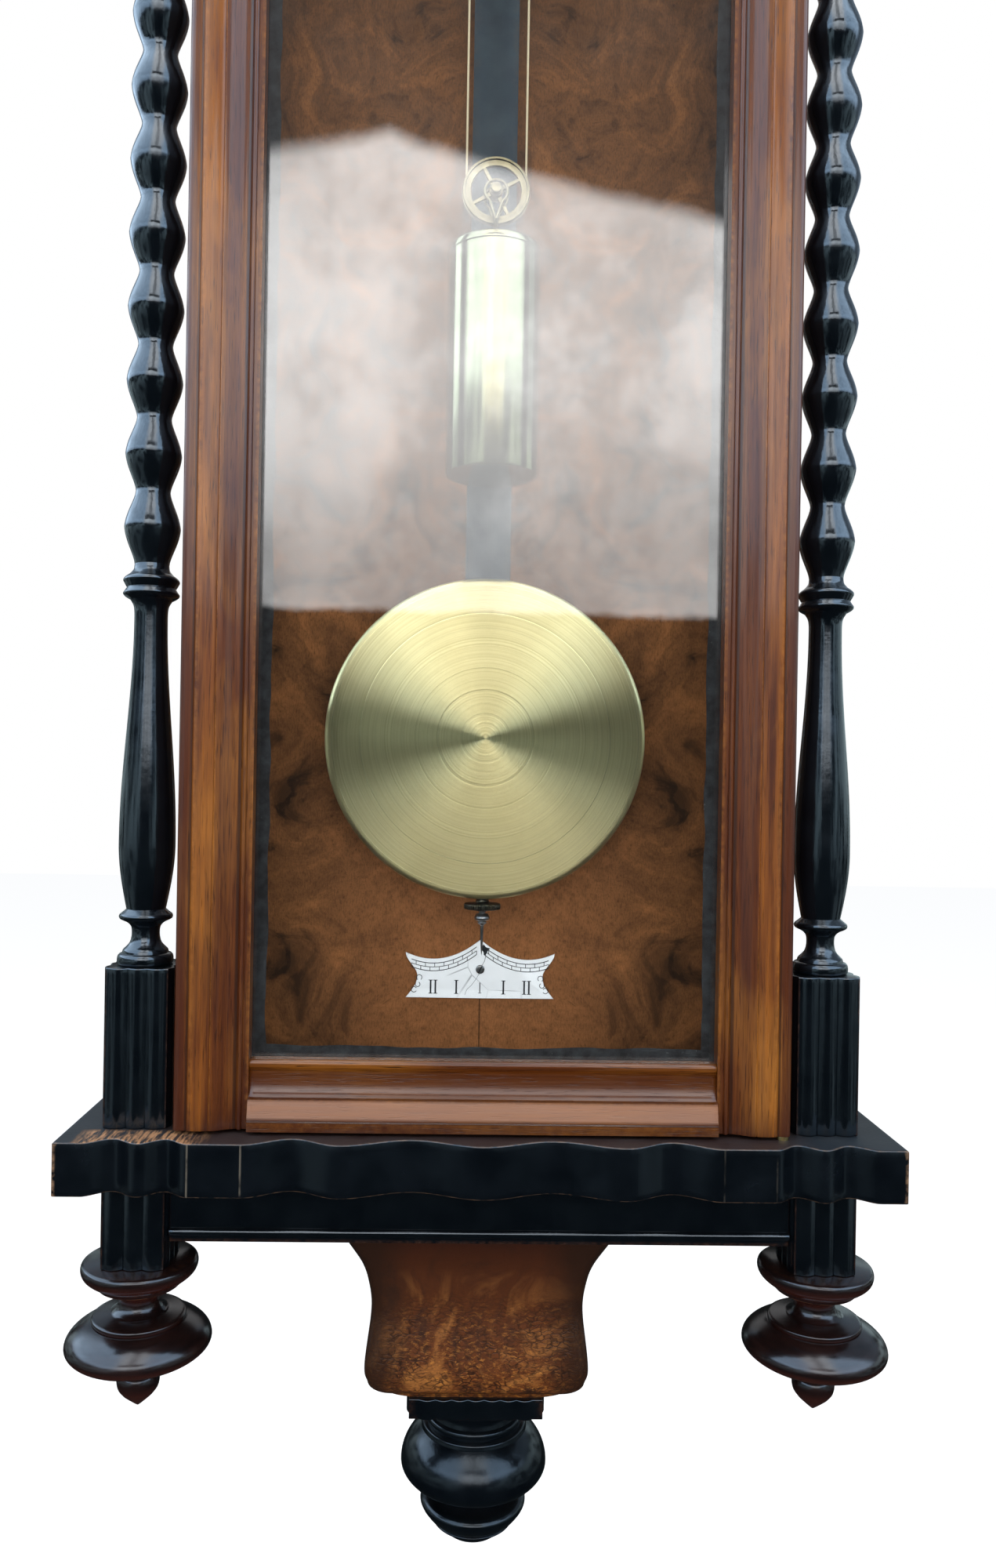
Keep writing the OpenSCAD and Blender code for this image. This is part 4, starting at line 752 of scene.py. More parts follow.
tree.links.new(rough, polish.inputs["Roughness"])
polish.inputs["Specular IOR Level"].default_value = 0.50
polish.inputs["Specular Tint"].default_value = (0.78, 0.89, 1, 1)
upright_fibre = scaled(tree, spot, (1.0, 1.0, 0.10))
raise_surface(tree, polish, plus(tree, times(tree, fibres, 0.6),
                                 speckle(tree, upright_fibre, 500.0, 3.0)), 0.00007)


def wave(x0, x1, front, cut, steps=22):
    return [(x0 + (x1 - x0) * i / steps, front - cut * (1 - cos(2 * pi * i / steps)) / 2)
            for i in range(1, steps + 1)]


def mirror_outline(half):
    """A half outline from the middle to the right, completed on the left."""
    return half + [(-x, y) for x, y in half[::-1] if abs(x) > 1e-6]


shelf_front = 140.5
serpentine = mirror_outline([(0, shelf_front)] + wave(0, 64.5, shelf_front, 9)
                            + wave(64.5, 107.5, shelf_front, 9) + [(131, shelf_front)]
                            + wave(131, 153, shelf_front, 6.8) + wave(153, 178, shelf_front, 6.8)
                            + [(190, shelf_front), (190, 0)])
make_piece("shelf_board", slab(serpentine, -24, 0, flat_way, 0.7, 3, 1.3), ebonised_shelf, "case",
           ["shelf"])
upper_board = [(-174, 0), (174, 0), (174, 123.5), (-174, 123.5)]
make_piece("cornice_boards", together(slab(serpentine, case_h, case_h + 24, flat_way, 0.7, 3, 1.3),
                                      slab(upper_board, 890.6, 901, flat_way, 1.2, 3, 1.0)),
           ebonised_shelf, "case", ["cornice"])


# ---------------------------------------------------------------- blocks
# Square blocks carry the columns at the foot, at the head and under the shelf. Their
# fronts and sides are worked with three shallow reeds, and all are stained black.
def mirrored_x(shape):
    points, faces, uvs = shape
    return ([Vector((-p[0], p[1], p[2])) for p in points], [tuple(face[::-1]) for face in faces],
            [list(uv[::-1]) for uv in uvs] if uvs else None)


def reed_face(width, edge, count, rise, steps=8):
    reed = (width - 2 * edge) / count
    return [(-width / 2 + edge + reed * (k + i / steps), rise * sin(pi * i / steps))
            for k in range(count) for i in range(steps + 1)]


def reeded_plan(size, edge, count, rise, x, depth):
    face = reed_face(size - 2 * rise, edge, count, rise)
    half = size / 2 - rise
    plan = [(-half, half)] + [(p[0], half + p[1]) for p in face] + [(half, half)]
    plan += [(half + p[1], -p[0]) for p in face]
    plan += [(half, -half - rise), (-half, -half - rise)]
    plan += [(-half - p[1], p[0]) for p in face]
    return [(x + p[0], depth + p[1]) for p in plan]


block_x, block_d, block_h = 160, 105, 73.5
block_plan = reeded_plan(32, 1.2, 3, 1.7, block_x, block_d)
for name, low, high, node in (("plinth_blocks_reeded", 0, block_h, "plinth_blocks"),
                              ("drop_blocks_reeded", -65, -24, "drop_blocks"),
                              ("top_blocks_reeded", case_h - block_h, case_h, "top_blocks")):
    one = slab(block_plan, low + 0.02, high - 0.02, flat_way, 0.6, 4)
    make_piece(name, together(one, mirrored_x(one)), ebonised, "case", [node])


# ---------------------------------------------------------------- columns
# Each column is one turning between two blocks: a base of rings, a slender vase, a
# double ring, fourteen bobbins and the base again, upside down. Black polish.
def curve_through(run, steps=4):
    """A smooth line through the points of a run; runs meet in sharp corners."""
    if len(run) < 3:
        return list(run)
    out = []
    for i in range(len(run) - 1):
        a, b = run[i], run[i + 1]
        before = run[i - 1] if i else (2 * a[0] - b[0], 2 * a[1] - b[1])
        after = run[i + 2] if i + 2 < len(run) else (2 * b[0] - a[0], 2 * b[1] - a[1])
        for k in range(steps):
            t = k / steps
            out.append(tuple(0.5 * (2 * a[j] + (b[j] - before[j]) * t
                                    + (2 * before[j] - 5 * a[j] + 4 * b[j] - after[j]) * t * t
                                    + (3 * a[j] - before[j] - 3 * b[j] + after[j]) * t ** 3)
                             for j in (0, 1)))
    out.append(run[-1])
    return out


def lined_up(runs, steps=4):
    line = []
    for run in runs:
        for p in curve_through(run, steps):
            if not line or math.dist(line[-1], p) > 0.004:
                line.append((max(0.0, p[0]), p[1]))
    return line


def turning(profile, at, sides=64):
    """A closed turning: profile is radius and length along the axis; at places its points."""
    points, faces, uvs = [], [], []
    rings = []
    travelled, last = 0.0, profile[0]
    for r, h in profile:
        travelled += math.dist(last, (r, h))
        last = (r, h)
        start = len(points)
        if r < 1e-6:
            points.append(at(0, 0, h))
            rings.append((start, True, travelled / 100))
        else:
            points += [at(r * cos(2 * pi * i / sides), r * sin(2 * pi * i / sides), h)
                       for i in range(sides)]
            rings.append((start, False, travelled / 100))
    for (a, a_pole, low_v), (b, b_pole, high_v) in zip(rings, rings[1:]):
        for i in range(sides):
            k = (i + 1) % sides
            u0, u1 = i / sides, (i + 1) / sides
            if a_pole:
                faces.append((a, b + k, b + i))
                uvs.append([((u0 + u1) / 2, low_v), (u1, high_v), (u0, high_v)])
            elif b_pole:
                faces.append((a + i, a + k, b))
                uvs.append([(u0, low_v), (u1, low_v), ((u0 + u1) / 2, high_v)])
            else:
                faces.append((a + i, a + k, b + k, b + i))
                uvs.append([(u0, low_v), (u1, low_v), (u1, high_v), (u0, high_v)])
    for (start, pole, _), backward in ((rings[0], True), (rings[-1], False)):
        if not pole:
            ring = tuple(range(start, start + sides))
            faces.append(ring[::-1] if backward else ring)
            uvs.append([(0.0, 0.0)] * sides)
    return points, faces, uvs


def standing(x, depth, height):
    """Places a turning with its axis upright, its zero at the given point."""
    return lambda a, b, h: place(x + a, depth - b, height + h)


def facing_out(x, height):
    """Places a turning with its axis square to the wall."""
    return lambda a, b, h: place(x + a, h, height + b)


def new_growth(name, inputs):
    """A Geometry Nodes tree with named inputs, its input node and its output node."""
    tree = bpy.data.node_groups.new(name, "GeometryNodeTree")
    add_socket(tree, "Geometry", "Geometry", in_out="OUTPUT")
    for label, kind, value in inputs:
        add_socket(tree, label, kind, value)
    return tree, tree.nodes.new("NodeGroupInput"), tree.nodes.new("NodeGroupOutput")


def grown_mesh(tree, values, finish):
    """The tree's result as a plain mesh; values are given by the inputs' names."""
    carrier = bpy.data.objects.new(tree.name + "_carrier",
                                   bpy.data.meshes.new(tree.name + "_carrier"))
    bpy.context.scene.collection.objects.link(carrier)
    modifier = carrier.modifiers.new("growth", "NODES")
    modifier.node_group = tree
    for item in tree.interface.items_tree:
        if item.in_out == "INPUT" and item.name in values:
            modifier[item.identifier] = values[item.name]
        elif item.in_out == "INPUT" and item.name == "Finish":
            modifier[item.identifier] = finish
    shown = bpy.context.evaluated_depsgraph_get()
    shown.update()
    mesh = bpy.data.meshes.new_from_object(carrier.evaluated_get(shown))
    carrier.modifiers.remove(modifier)
    bpy.data.objects.remove(carrier)
    return mesh


def close_tree(tree, geometry, enter, leave):
    solid = put(tree, "GeometryNodeRealizeInstances", {0: geometry})
    painted = put(tree, "GeometryNodeSetMaterial",
                  {"Geometry": solid.outputs[0], "Material": enter.outputs["Finish"]})
    tree.links.new(painted.outputs[0], leave.inputs[0])


# A string of bobbins: a sheet of corners is rolled into a tube whose radius swells
# and draws in with the height, once for each bobbin.
bobbin_string, enter, leave = new_growth("bobbin_string", [
    ("Count", "Int", 14), ("Pitch", "Float", 0.0344), ("Belly", "Float", 0.0129),
    ("Neck", "Float", 0.0079), ("Fullness", "Float", 1.35), ("Ridge", "Float", 0.3),
    ("Rings", "Int", 20), ("Sides", "Int", 49), ("Finish", "Material", None)])
g = bobbin_string
rows = plus(g, times(g, enter.outputs["Count"], enter.outputs["Rings"]), 1.0)
sheet = put(g, "GeometryNodeMeshGrid",
            {"Size X": 1.0, "Size Y": 1.0, "Vertices X": enter.outputs["Sides"],
             "Vertices Y": rows})
where = put(g, "ShaderNodeSeparateXYZ", {0: put(g, "GeometryNodeInputPosition").outputs[0]})
angle = times(g, plus(g, where.outputs["X"], 0.5), 2 * pi)
along = times(g, plus(g, where.outputs["Y"], 0.5), enter.outputs["Count"])
swell = maths(g, "SINE", times(g, along, pi))
swell = maths(g, "ABSOLUTE", swell)
swell = maths(g, "POWER", swell, enter.outputs["Fullness"])
from_belly = maths(g, "FRACT", along)
from_belly = maths(g, "ABSOLUTE", plus(g, times(g, from_belly, 2.0), -1.0))
flank = times(g, from_belly, plus(g, times(g, from_belly, -1.0), 1.0))
swell = plus(g, swell, times(g, flank, times(g, enter.outputs["Ridge"], -1.0)))
more = maths(g, "SUBTRACT", enter.outputs["Belly"], enter.outputs["Neck"])
radius = plus(g, enter.outputs["Neck"], times(g, swell, more))
side = times(g, radius, maths(g, "COSINE", angle))
out = times(g, radius, maths(g, "SINE", angle))
spot = put(g, "ShaderNodeCombineXYZ",
           {"X": side, "Y": out, "Z": times(g, along, enter.outputs["Pitch"])})
rolled = put(g, "GeometryNodeSetPosition",
             {"Geometry": sheet.outputs["Mesh"], "Position": spot.outputs[0]})
closed = put(g, "GeometryNodeMergeByDistance",
             {"Geometry": rolled.outputs[0], "Distance": 0.000002})
close_tree(g, closed.outputs[0], enter, leave)


def mesh_shape(mesh, move):
    """A grown mesh as points and faces, moved, with any open end filled."""
    work = bmesh.new()
    work.from_mesh(mesh)
    bmesh.ops.holes_fill(work, edges=[e for e in work.edges if e.is_boundary])
    points = [v.co + move for v in work.verts]
    faces = [tuple(v.index for v in f.verts) for f in work.faces]
    work.free()
    bpy.data.meshes.remove(mesh)
    return points, faces, None


def eased(a, b, t):
    return a + (b - a) * (1 - cos(pi * t)) / 2


column_base = [
    [(0, 0), (12.0, 0)],
    [(12.0, 0), (12.7, 0.7), (12.9, 2.4), (12.6, 4.1), (11.9, 5)],
    [(11.9, 5), (10.7, 5.4)],
    [(10.7, 5.4), (10.2, 7), (8.6, 8.6), (7.2, 10.4), (6.5, 13), (6.4, 15.6), (6.8, 17.8),
     (8.4, 19.6), (11.2, 21)],
    [(11.2, 21), (12.0, 21.6), (12.3, 22.6), (12.0, 23.5)],
    [(12.0, 23.5), (10.4, 24.8), (9, 26)]]
tall = case_h - 2 * block_h
vase = [[(9, 26)] + [(9 + 3.9 * sin(pi / 2 * i / 8), 26 + 30.8 * i / 8) for i in range(1, 9)]
        + [(eased(12.9, 7.6, i / 12), 56.8 + 106.2 * i / 12) for i in range(1, 13)]]
double_ring = [
    [(7.6, 163), (7.7, 166), (8.2, 168.6), (9.6, 171)],
    [(9.6, 171), (12.2, 172.6), (12.9, 173.8), (12.2, 175), (11.2, 176.6)],
    [(11.2, 176.6), (12.3, 178.6), (12.9, 180.0), (12.1, 181.4), (10, 183)],
    [(10, 183), (8.3, 185.2), (7.9, 187.7)]]
low_end, high_end = 187.7, tall - 49.3
upper = [
    [(7.9, high_end), (8.3, high_end + 2), (10, high_end + 4.6)],
    [(10, high_end + 4.6), (12.1, high_end + 6.0), (12.9, high_end + 7.3),
     (12.2, high_end + 8.8), (11.3, high_end + 10.4)],
    [(11.3, high_end + 10.4), (12.2, high_end + 12.2), (12.9, high_end + 13.5),
     (12.1, high_end + 14.9), (9.4, high_end + 17)],
    [(9.4, high_end + 17), (9, tall - 26)]]
upper += [[(r, tall - h) for r, h in run[::-1]] for run in column_base[::-1]]
pitch = (high_end - low_end) / 14
for side, name in ((-1, "left"), (1, "right")):
    foot_line = lined_up(column_base + vase + double_ring + [[(7.9, low_end), (0, low_end)]])
    foot = turning(foot_line, standing(side * block_x, block_d, block_h))
    head = turning(lined_up([[(0, high_end), (7.9, high_end)]] + upper),
                   standing(side * block_x, block_d, block_h))
    string = grown_mesh(bobbin_string, {"Count": 14, "Pitch": pitch / 1000, "Belly": 0.0129,
                                        "Neck": 0.0079, "Fullness": 1.35, "Ridge": 0.30,
                                        "Rings": 20, "Sides": 65}, ebonised)
    bobbins = mesh_shape(string, place(side * block_x, block_d, block_h + low_end))
    make_piece("turned_column_" + name, together(foot, head, bobbins), ebonised, "case",
               ["column_" + name], 30)


# ---------------------------------------------------------------- rails under the shelf
# A black rail with a bead near its foot joins the blocks under the shelf, and two
# plain rails run back from it to the wall.
def side_way(depth, height, x):
    """For a section seen from the side, drawn out across the clock."""
    return place(x, depth, height)


bead_edge = [(115.5 + 2 * cos(a), -48.5 + 2 * sin(a))
             for a in (radians(-90 + 180 * i / 12) for i in range(13))]
rail = [(101.5, -24.02), (101.5, -53), (115.5, -53)] + bead_edge + [(115.5, -24.02)]
front_rail = slab(rail, -144, 144, side_way, 0.25, 2)
side_rail = slab([(130, 0), (144, 0), (144, 101.4), (130, 101.4)], -53, -24.02, flat_way, 0.4)
make_piece("apron_rails_beaded", together(front_rail, side_rail, mirrored_x(side_rail)), ebonised,
           "case", ["apron_rails"])

# ---------------------------------------------------------------- bracket
# A shaped block of walnut under the rails, veneered with a burr that has crackled.
# Its colour is darker at its rounded corners, and painted shade darkens it towards the top.
# It flares at the top and swells below.
burr_bracket, tree, wood = start_finish("burr_walnut_bracket")
spot = own_place(tree)
split = put(tree, "ShaderNodeSeparateXYZ", {0: spot})
figure = use_group(tree, burr_figure, {"Vector": spot, "Swirl": 22.0})
# Painted shade: the colour darkens from the belly up to the top, under the rails, and the warm
# figure and the golden flecks fade out upwards with it.
height = stretch(tree, split.outputs["Z"], -0.992, -0.901)
colour = tint(tree, height, (0.135, 0.037, 0.008), (0.027, 0.0075, 0.0045))
colour = tint(tree, times(tree, figure.outputs["Warm"], stretch(tree, height, 0.75, 0.3)), colour,
              (0.31, 0.115, 0.026))
colour = tint(tree, times(tree, figure.outputs["Dark"], 0.72), colour, (0.028, 0.010, 0.005))
astray = put(tree, "ShaderNodeTexNoise",
             {"Vector": spot, "Scale": 190.0, "Detail": 3.0}).outputs["Color"]
astray = scaled(tree, astray, (0.0055, 0.0, 0.0045))
bent = vector_maths(tree, "ADD", spot, astray)
cells = put(tree, "ShaderNodeTexVoronoi", {"Vector": scaled(tree, bent, (0.55, 1.0, 1.2)),
                                           "Scale": 420.0}, feature="DISTANCE_TO_EDGE")
low_part = stretch(tree, height, 0.66, 0.38)
patchy = stretch(tree, speckle(tree, spot, 90.0, 6.0, 0.7), 0.38, 0.58)
crackle = times(tree, stretch(tree, cells.outputs["Distance"], 0.15, 0.03), patchy)
crackle = times(tree, crackle, low_part)
flecks = stretch(tree, speckle(tree, scaled(tree, bent, (0.55, 1.0, 1.5)), 620.0, 4.0, 0.7), 0.53,
                 0.66)
flecks = times(tree, flecks, stretch(tree, height, 0.60, 0.25))
colour = tint(tree, times(tree, flecks, 0.65), colour, (0.46, 0.17, 0.026))
dashes = stretch(tree, speckle(tree, scaled(tree, bent, (0.45, 1.0, 1.7)), 760.0, 3.0, 0.6), 0.56,
                 0.64)
colour = tint(tree, times(tree, times(tree, dashes, low_part), 0.65), colour, (0.020, 0.008, 0.004))
colour = tint(tree, times(tree, crackle, 0.85), colour, (0.016, 0.007, 0.004))
# Darker towards the rounded corners at the sides.
wide = maths(tree, "ABSOLUTE", split.outputs["X"])
wide = plus(tree, wide, times(tree, speckle(tree, spot, 60.0, 3.0), 0.012))
corners = stretch(tree, wide, 0.037, 0.053)
colour = tint(tree, times(tree, corners, 0.88), colour, (0.022, 0.009, 0.005))
tree.links.new(colour, wood.inputs["Base Color"])
tree.links.new(stretch(tree, figure.outputs["Dark"], 0, 1, 0.33, 0.46), wood.inputs["Roughness"])
wood.inputs["Specular IOR Level"].default_value = 0.2
wood.inputs["Coat Weight"].default_value = 0.2
wood.inputs["Coat Roughness"].default_value = 0.12
raise_surface(tree, wood, plus(tree, times(tree, crackle, -1.0),
                               times(tree, figure.outputs["Pores"], -0.3)), 0.00008)

swell = curve_through([(17, -53), (15.4, -57), (12.6, -63), (9.4, -69), (6.4, -75), (4.2, -81),
                       (2.8, -87), (1.8, -93), (1.4, -99), (1.8, -106), (2.8, -114), (3.8, -122),
                       (4.3, -128), (4.1, -132), (3.1, -135), (2.2, -137.8), (-0.2, -140.2),
                       (-4.2, -142.2), (-9.5, -143.4), (-16, -143.8)], 3)
points = []
corner_r, corner_steps = 8.0, 8
for out_by, h in swell:
    half, front = 51.3 + out_by, 83 + max(out_by, -3.5)
    ring = [(-half, 0)]
    ring += [(-half + corner_r * (1 - cos(pi / 2 * i / corner_steps)),
              front - corner_r * (1 - sin(pi / 2 * i / corner_steps)))
             for i in range(corner_steps + 1)]
    ring += [(-x, d) for x, d in ring[::-1]]
    points += [place(x, d, h) for x, d in ring]
faces = ring_faces(len(ring), len(swell))
behind = slab([(-68.3, 0), (68.3, 0), (68.3, 101.1), (-68.3, 101.1)], -53.05, -24.1, flat_way, 0.3)
make_piece("bracket_shaped", together((points, faces, None), behind), burr_bracket, "case",
           ["bottom_bracket"])


# ---------------------------------------------------------------- cap and pendant
# A black square cap with flutes round its edge closes the bracket, and a turned
# pendant hangs from it: a collar, a full bulb and a lip over a short foot.
cap = slab(reeded_plan(69, 5, 7, 1.4, 0, 48.8), -153.5, -143.7, flat_way, 0.5)
make_piece("bracket_cap_fluted", cap, ebonised, "case", ["bracket_cap"])


def oval_flank(r, middle, up, down, r_top, r_foot, steps=14):
    """A bulb's side: two quarters of ovals that meet at its widest, from r_top to r_foot."""
    first, last = math.acos(r_top / r), math.acos(r_foot / r)
    return ([(r * cos(first * (1 - i / steps)), middle + up * sin(first * (1 - i / steps)))
             for i in range(steps + 1)]
            + [(r * cos(last * i / steps), middle - down * sin(last * i / steps))
               for i in range(1, steps + 1)])


pendant = [
    [(0, 0), (24.4, 0)],
    [(24.4, 0), (24.4, -5)],
    [(24.4, -5), (22.9, -6.2), (22.2, -9), (22.9, -12)],
    [(22.9, -12), (24.6, -12.8), (25.1, -14.6), (24.4, -16.6)],
    [(24.4, -16.6), (26.6, -17.2), (27.1, -18.4), (27.4, -19.4)],
    oval_flank(37.8, -37.4, 26.0, 13.4, 27.4, 17.0),
    [(17, -49.4), (17.4, -52.4), (20.6, -54.4), (25.2, -55.4), (27.0, -57.0), (27.3, -58.6),
     (26.4, -60.6)],
    [(26.4, -60.6), (24, -63.8), (21.4, -66.0), (20.4, -66.7)],
    [(20.4, -66.7), (21.0, -67.4), (20.2, -68.2), (15.8, -68.7)],
    [(15.8, -68.7), (15.4, -71.5), (14.2, -73.4), (11, -74)],
    [(11, -74), (0, -74)]]
ebonised_pendant = black_finish("ebonised_pendant", gloss=0.17, wear=0.4, shine=0.36)
make_piece("pendant_turned", turning(lined_up(pendant), standing(0, 48.8, -153.5), 80),
           ebonised_pendant, "case", ["pendant"], 30)

# ---------------------------------------------------------------- drops
# Two turned drops hang under the outer blocks: a disc, a thin neck, a bowl, a flat
# bulb and a small ball with a point. Their polish is thinner and lets red wood through.
red_black, tree, polish = start_finish("dark_polish")
spot = own_place(tree)
edges = use_group(tree, handled_edges, {"Vector": spot, "Amount": 0.55})
around_grain = speckle(tree, scaled(tree, spot, (1.0, 1.0, 7.0)), 55.0, 5.0, 0.6)
down = facing_up(tree)
colour = tint(tree, stretch(tree, around_grain, 0.35, 0.7), (0.0060, 0.0034, 0.0034),
              (0.0140, 0.0058, 0.0048))
colour = tint(tree, stretch(tree, down, 0.0, -0.75, 0.0, 0.7), colour, (0.045, 0.010, 0.006))
colour = tint(tree, edges.outputs["Mask"], colour, (0.12, 0.045, 0.02))
tree.links.new(colour, polish.inputs["Base Color"])
tree.links.new(stretch(tree, around_grain, 0.3, 0.7, 0.15, 0.24), polish.inputs["Roughness"])
polish.inputs["Specular IOR Level"].default_value = 0.58
polish.inputs["Specular Tint"].default_value = (0.85, 0.92, 1, 1)
raise_surface(tree, polish, around_grain, 0.00006)

drop = [
    [(0, 0), (25, 0)],
    [(25, 0), (26.4, -0.9), (26.8, -3), (26, -5.4), (24, -7.4), (21.4, -9.2)],
    [(21.4, -9.2), (19.4, -9.8), (19, -11.6)],
    [(19, -11.6), (15, -13.4), (11, -15.6), (9.6, -18), (9.6, -20), (10.6, -22), (12.8, -24)],
    [(12.8, -24), (17, -24.8), (20.6, -25.4)],
    [(20.6, -25.4), (21.6, -26), (21.6, -27.2), (21.2, -27.9)],
    oval_flank(33.6, -38.2, 13.6, 9.9, 21.8, 8.4),
    [(8.4, -47.8), (7.5, -50.0), (8, -52.4)],
    [(8, -52.4), (9.4, -54.4), (9.9, -57.0), (9.2, -60.4), (7, -63.4)],
    [(7, -63.4), (4.6, -65.6), (1.6, -68.2), (0, -69.4)]]
for side, name in ((-1, "left"), (1, "right")):
    make_piece("turned_drop_" + name,
               turning(lined_up(drop), standing(side * block_x, block_d, -65), 72), red_black,
               "case", ["drop_finial_" + name], 30)


# ---------------------------------------------------------------- crest
# A low board with swept shoulders stands on the cornice, with an oval boss on its
# face and three turned finials. It isn't in the photograph and follows the usual form.
def face_way(x, height, depth):
    """For an outline seen from the front, built out from the wall."""
    return place(x, depth, height)


foot_h, shoulder_h = 901.0, 58.08
crown_r, crown_rise = 52, 29.92
edge = [(128, foot_h), (128, foot_h + 14.5)]
edge += [(128 + 62 * cos(a), foot_h + shoulder_h + 43.6 * sin(a))
         for a in (radians(270 - 90 * i / 20) for i in range(21))]
edge += [(crown_r, foot_h + shoulder_h)]
edge += [(crown_r * cos(a), foot_h + shoulder_h + crown_rise * sin(a))
         for a in (radians(80 * i / 16) for i in range(17))]
crest_outline = edge + [(-x, y) for x, y in edge[::-1]]
make_piece("crest_board", slab(crest_outline, 60, 78, face_way, 1.2, 3, 1.0), ebonised, "case",
           ["crest"])
oval = [(35.84 * cos(2 * pi * i / 64), 941.04 + 25.96 * sin(2 * pi * i / 64)) for i in range(64)]
make_piece("crest_boss", slab(oval, 77.9, 82, face_way, 2.6, 5), walnut_level, "case")
top_turning = [
    [(0, 0), (13, 0)],
    [(13, 0), (13.4, 1.5), (13, 3)],
    [(13, 3), (8, 5), (6, 9), (7, 12)],
    [(7, 12), (15, 16), (17, 21), (15, 27), (8, 31), (5.5, 34)],
    [(5.5, 34), (7.5, 36.2), (7.5, 38.4), (4.6, 41)],
    [(4.6, 41), (5.6, 54), (4, 62), (1.6, 67), (0, 70)]]
line = lined_up(top_turning)
short = [(r, h * 62 / 70) for r, h in line]
crest_top = foot_h + shoulder_h + crown_rise * sin(radians(80))
make_piece("crest_finials_turned", together(turning(short, standing(0, 69, crest_top), 48),
                                            turning(line, standing(158, 105, foot_h), 48),
                                            turning(line, standing(-158, 105, foot_h), 48)),
           ebonised, "case", ["crest_finials"], 30)


# ---------------------------------------------------------------- door
# Two moulded uprights and two moulded rails of polished walnut, butted together at
# the corners. The mouldings are run along each piece before the door is glued up.
def arc_points(cx, cy, rx, ry, start, end, steps):
    return [(cx + rx * cos(radians(start + (end - start) * i / steps)),
             cy + ry * sin(radians(start + (end - start) * i / steps))) for i in range(steps + 1)]


front, sight, stile_w = 128.0, 107.5, 33.5
stile = [(sight, 116), (sight, front - 4.6), (sight + 2.8, front - 4.6)]
stile += arc_points(sight + 3.9, front - 4.4, 1.1, 1.3, 180, 0, 10)
stile += [(sight + 5.4, front - 4.8), (sight + 6.8, front - 4)]
stile += [(sight + 6.8 + 10.1 * i / 20, front - 4 + eased(0, 3.6, i / 20)) for i in range(1, 21)]
stile += [(sight + 17.4, front - 0.9), (sight + 18.2, front - 0.5), (sight + 20.4, front - 0.1),
          (sight + 22.5, front), (sight + 26.3, front - 0.3)]
stile += [(sight + 27.3, front - 1.2), (sight + 28.4, front - 0.8)]
stile += arc_points(sight + 30.5, front - 3.4, 3, 3, 90, 0, 10)
stile += [(sight + stile_w, 107.5), (sight + stile_w - 1.5, 106), (sight + 4.5, 106),
          (sight + 4.5, 116)]
one = slab(stile, 1.6, case_h - 1.6, flat_way, 0.25, 2)
make_piece("door_stile_right_moulded", one, walnut_door, "door", ["door_stile_right"], 28)
make_piece("door_stile_left_moulded", mirrored_x(one), walnut_door, "door",
           ["door_stile_left"], 28)

rail_top = 33.1
rail = [(116, rail_top), (front - 7.6, rail_top)]
rail += arc_points(front - 7.6, rail_top - 2.2, 2.2, 2.2, 90, -60, 10)
rail += [(front - 7.4 + 4 * (1 - cos(pi / 2 * i / 14)), rail_top - 4.4
          - 12.8 * sin(pi / 2 * i / 14)) for i in range(1, 15)]
rail += [(front - 2.6, rail_top - 17.6), (front - 0.6, rail_top - 26.8), (front, rail_top - 27.2),
         (front, 1.6), (106, 1.6), (106, rail_top - 4.5), (116, rail_top - 4.5)]
bottom = slab(rail, -sight + 0.05, sight - 0.05, side_way, 0.2, 2)
top = slab([(d, case_h - h) for d, h in rail], -sight + 0.05, sight - 0.05, side_way, 0.2, 2)
make_piece("door_rail_bottom_moulded", bottom, walnut_level, "door", ["door_rail_bottom"],
           28)
make_piece("door_rail_top_moulded", top, walnut_level, "door", ["door_rail_top"], 28)

# The putty that holds the pane: a sloped fillet, grey with age, smeared a little past
# the wood and scratched through to pale chalk here and there.
putty, tree, paste = start_finish("old_putty")
spot = own_place(tree)
lumps = speckle(tree, spot, 160.0, 5.0, 0.6)
colour = tint(tree, stretch(tree, lumps, 0.35, 0.68), (0.024, 0.022, 0.022), (0.055, 0.057, 0.060))
flecks = stretch(tree, speckle(tree, scaled(tree, spot, (1.0, 1.0, 0.30)), 520.0, 4.0, 0.7), 0.66,
                 0.74)
colour = tint(tree, times(tree, flecks, 0.8), colour, (0.30, 0.29, 0.28))
tree.links.new(colour, paste.inputs["Base Color"])
paste.inputs["Roughness"].default_value = 0.62
paste.inputs["Specular IOR Level"].default_value = 0.15
raise_surface(tree, paste, lumps, 0.0005)


def uneven(shape, amount, scale):
    """Moves the points nearest the opening by a smooth noise, as hand-laid putty lies."""
    points, faces, uvs = shape
    moved = []
    for p in points:
        p = Vector(p)
        shift = noise.noise(p * scale) * amount
        sideways = -1 if p.x > 0.09 else 1 if p.x < -0.09 else 0
        upward = 1 if p.z < -0.78 else -1 if p.z > -0.05 else 0
        moved.append(p + Vector((sideways, 0, upward)) * shift)
    return moved, faces, uvs


def fillet(section, low, high, at, steps):
    """A long strip of one section, divided along its length."""
    points = [at(a, b, low + (high - low) * j / steps)
              for j in range(steps + 1) for a, b in section]
    return points, ring_faces(len(section), steps + 1), None


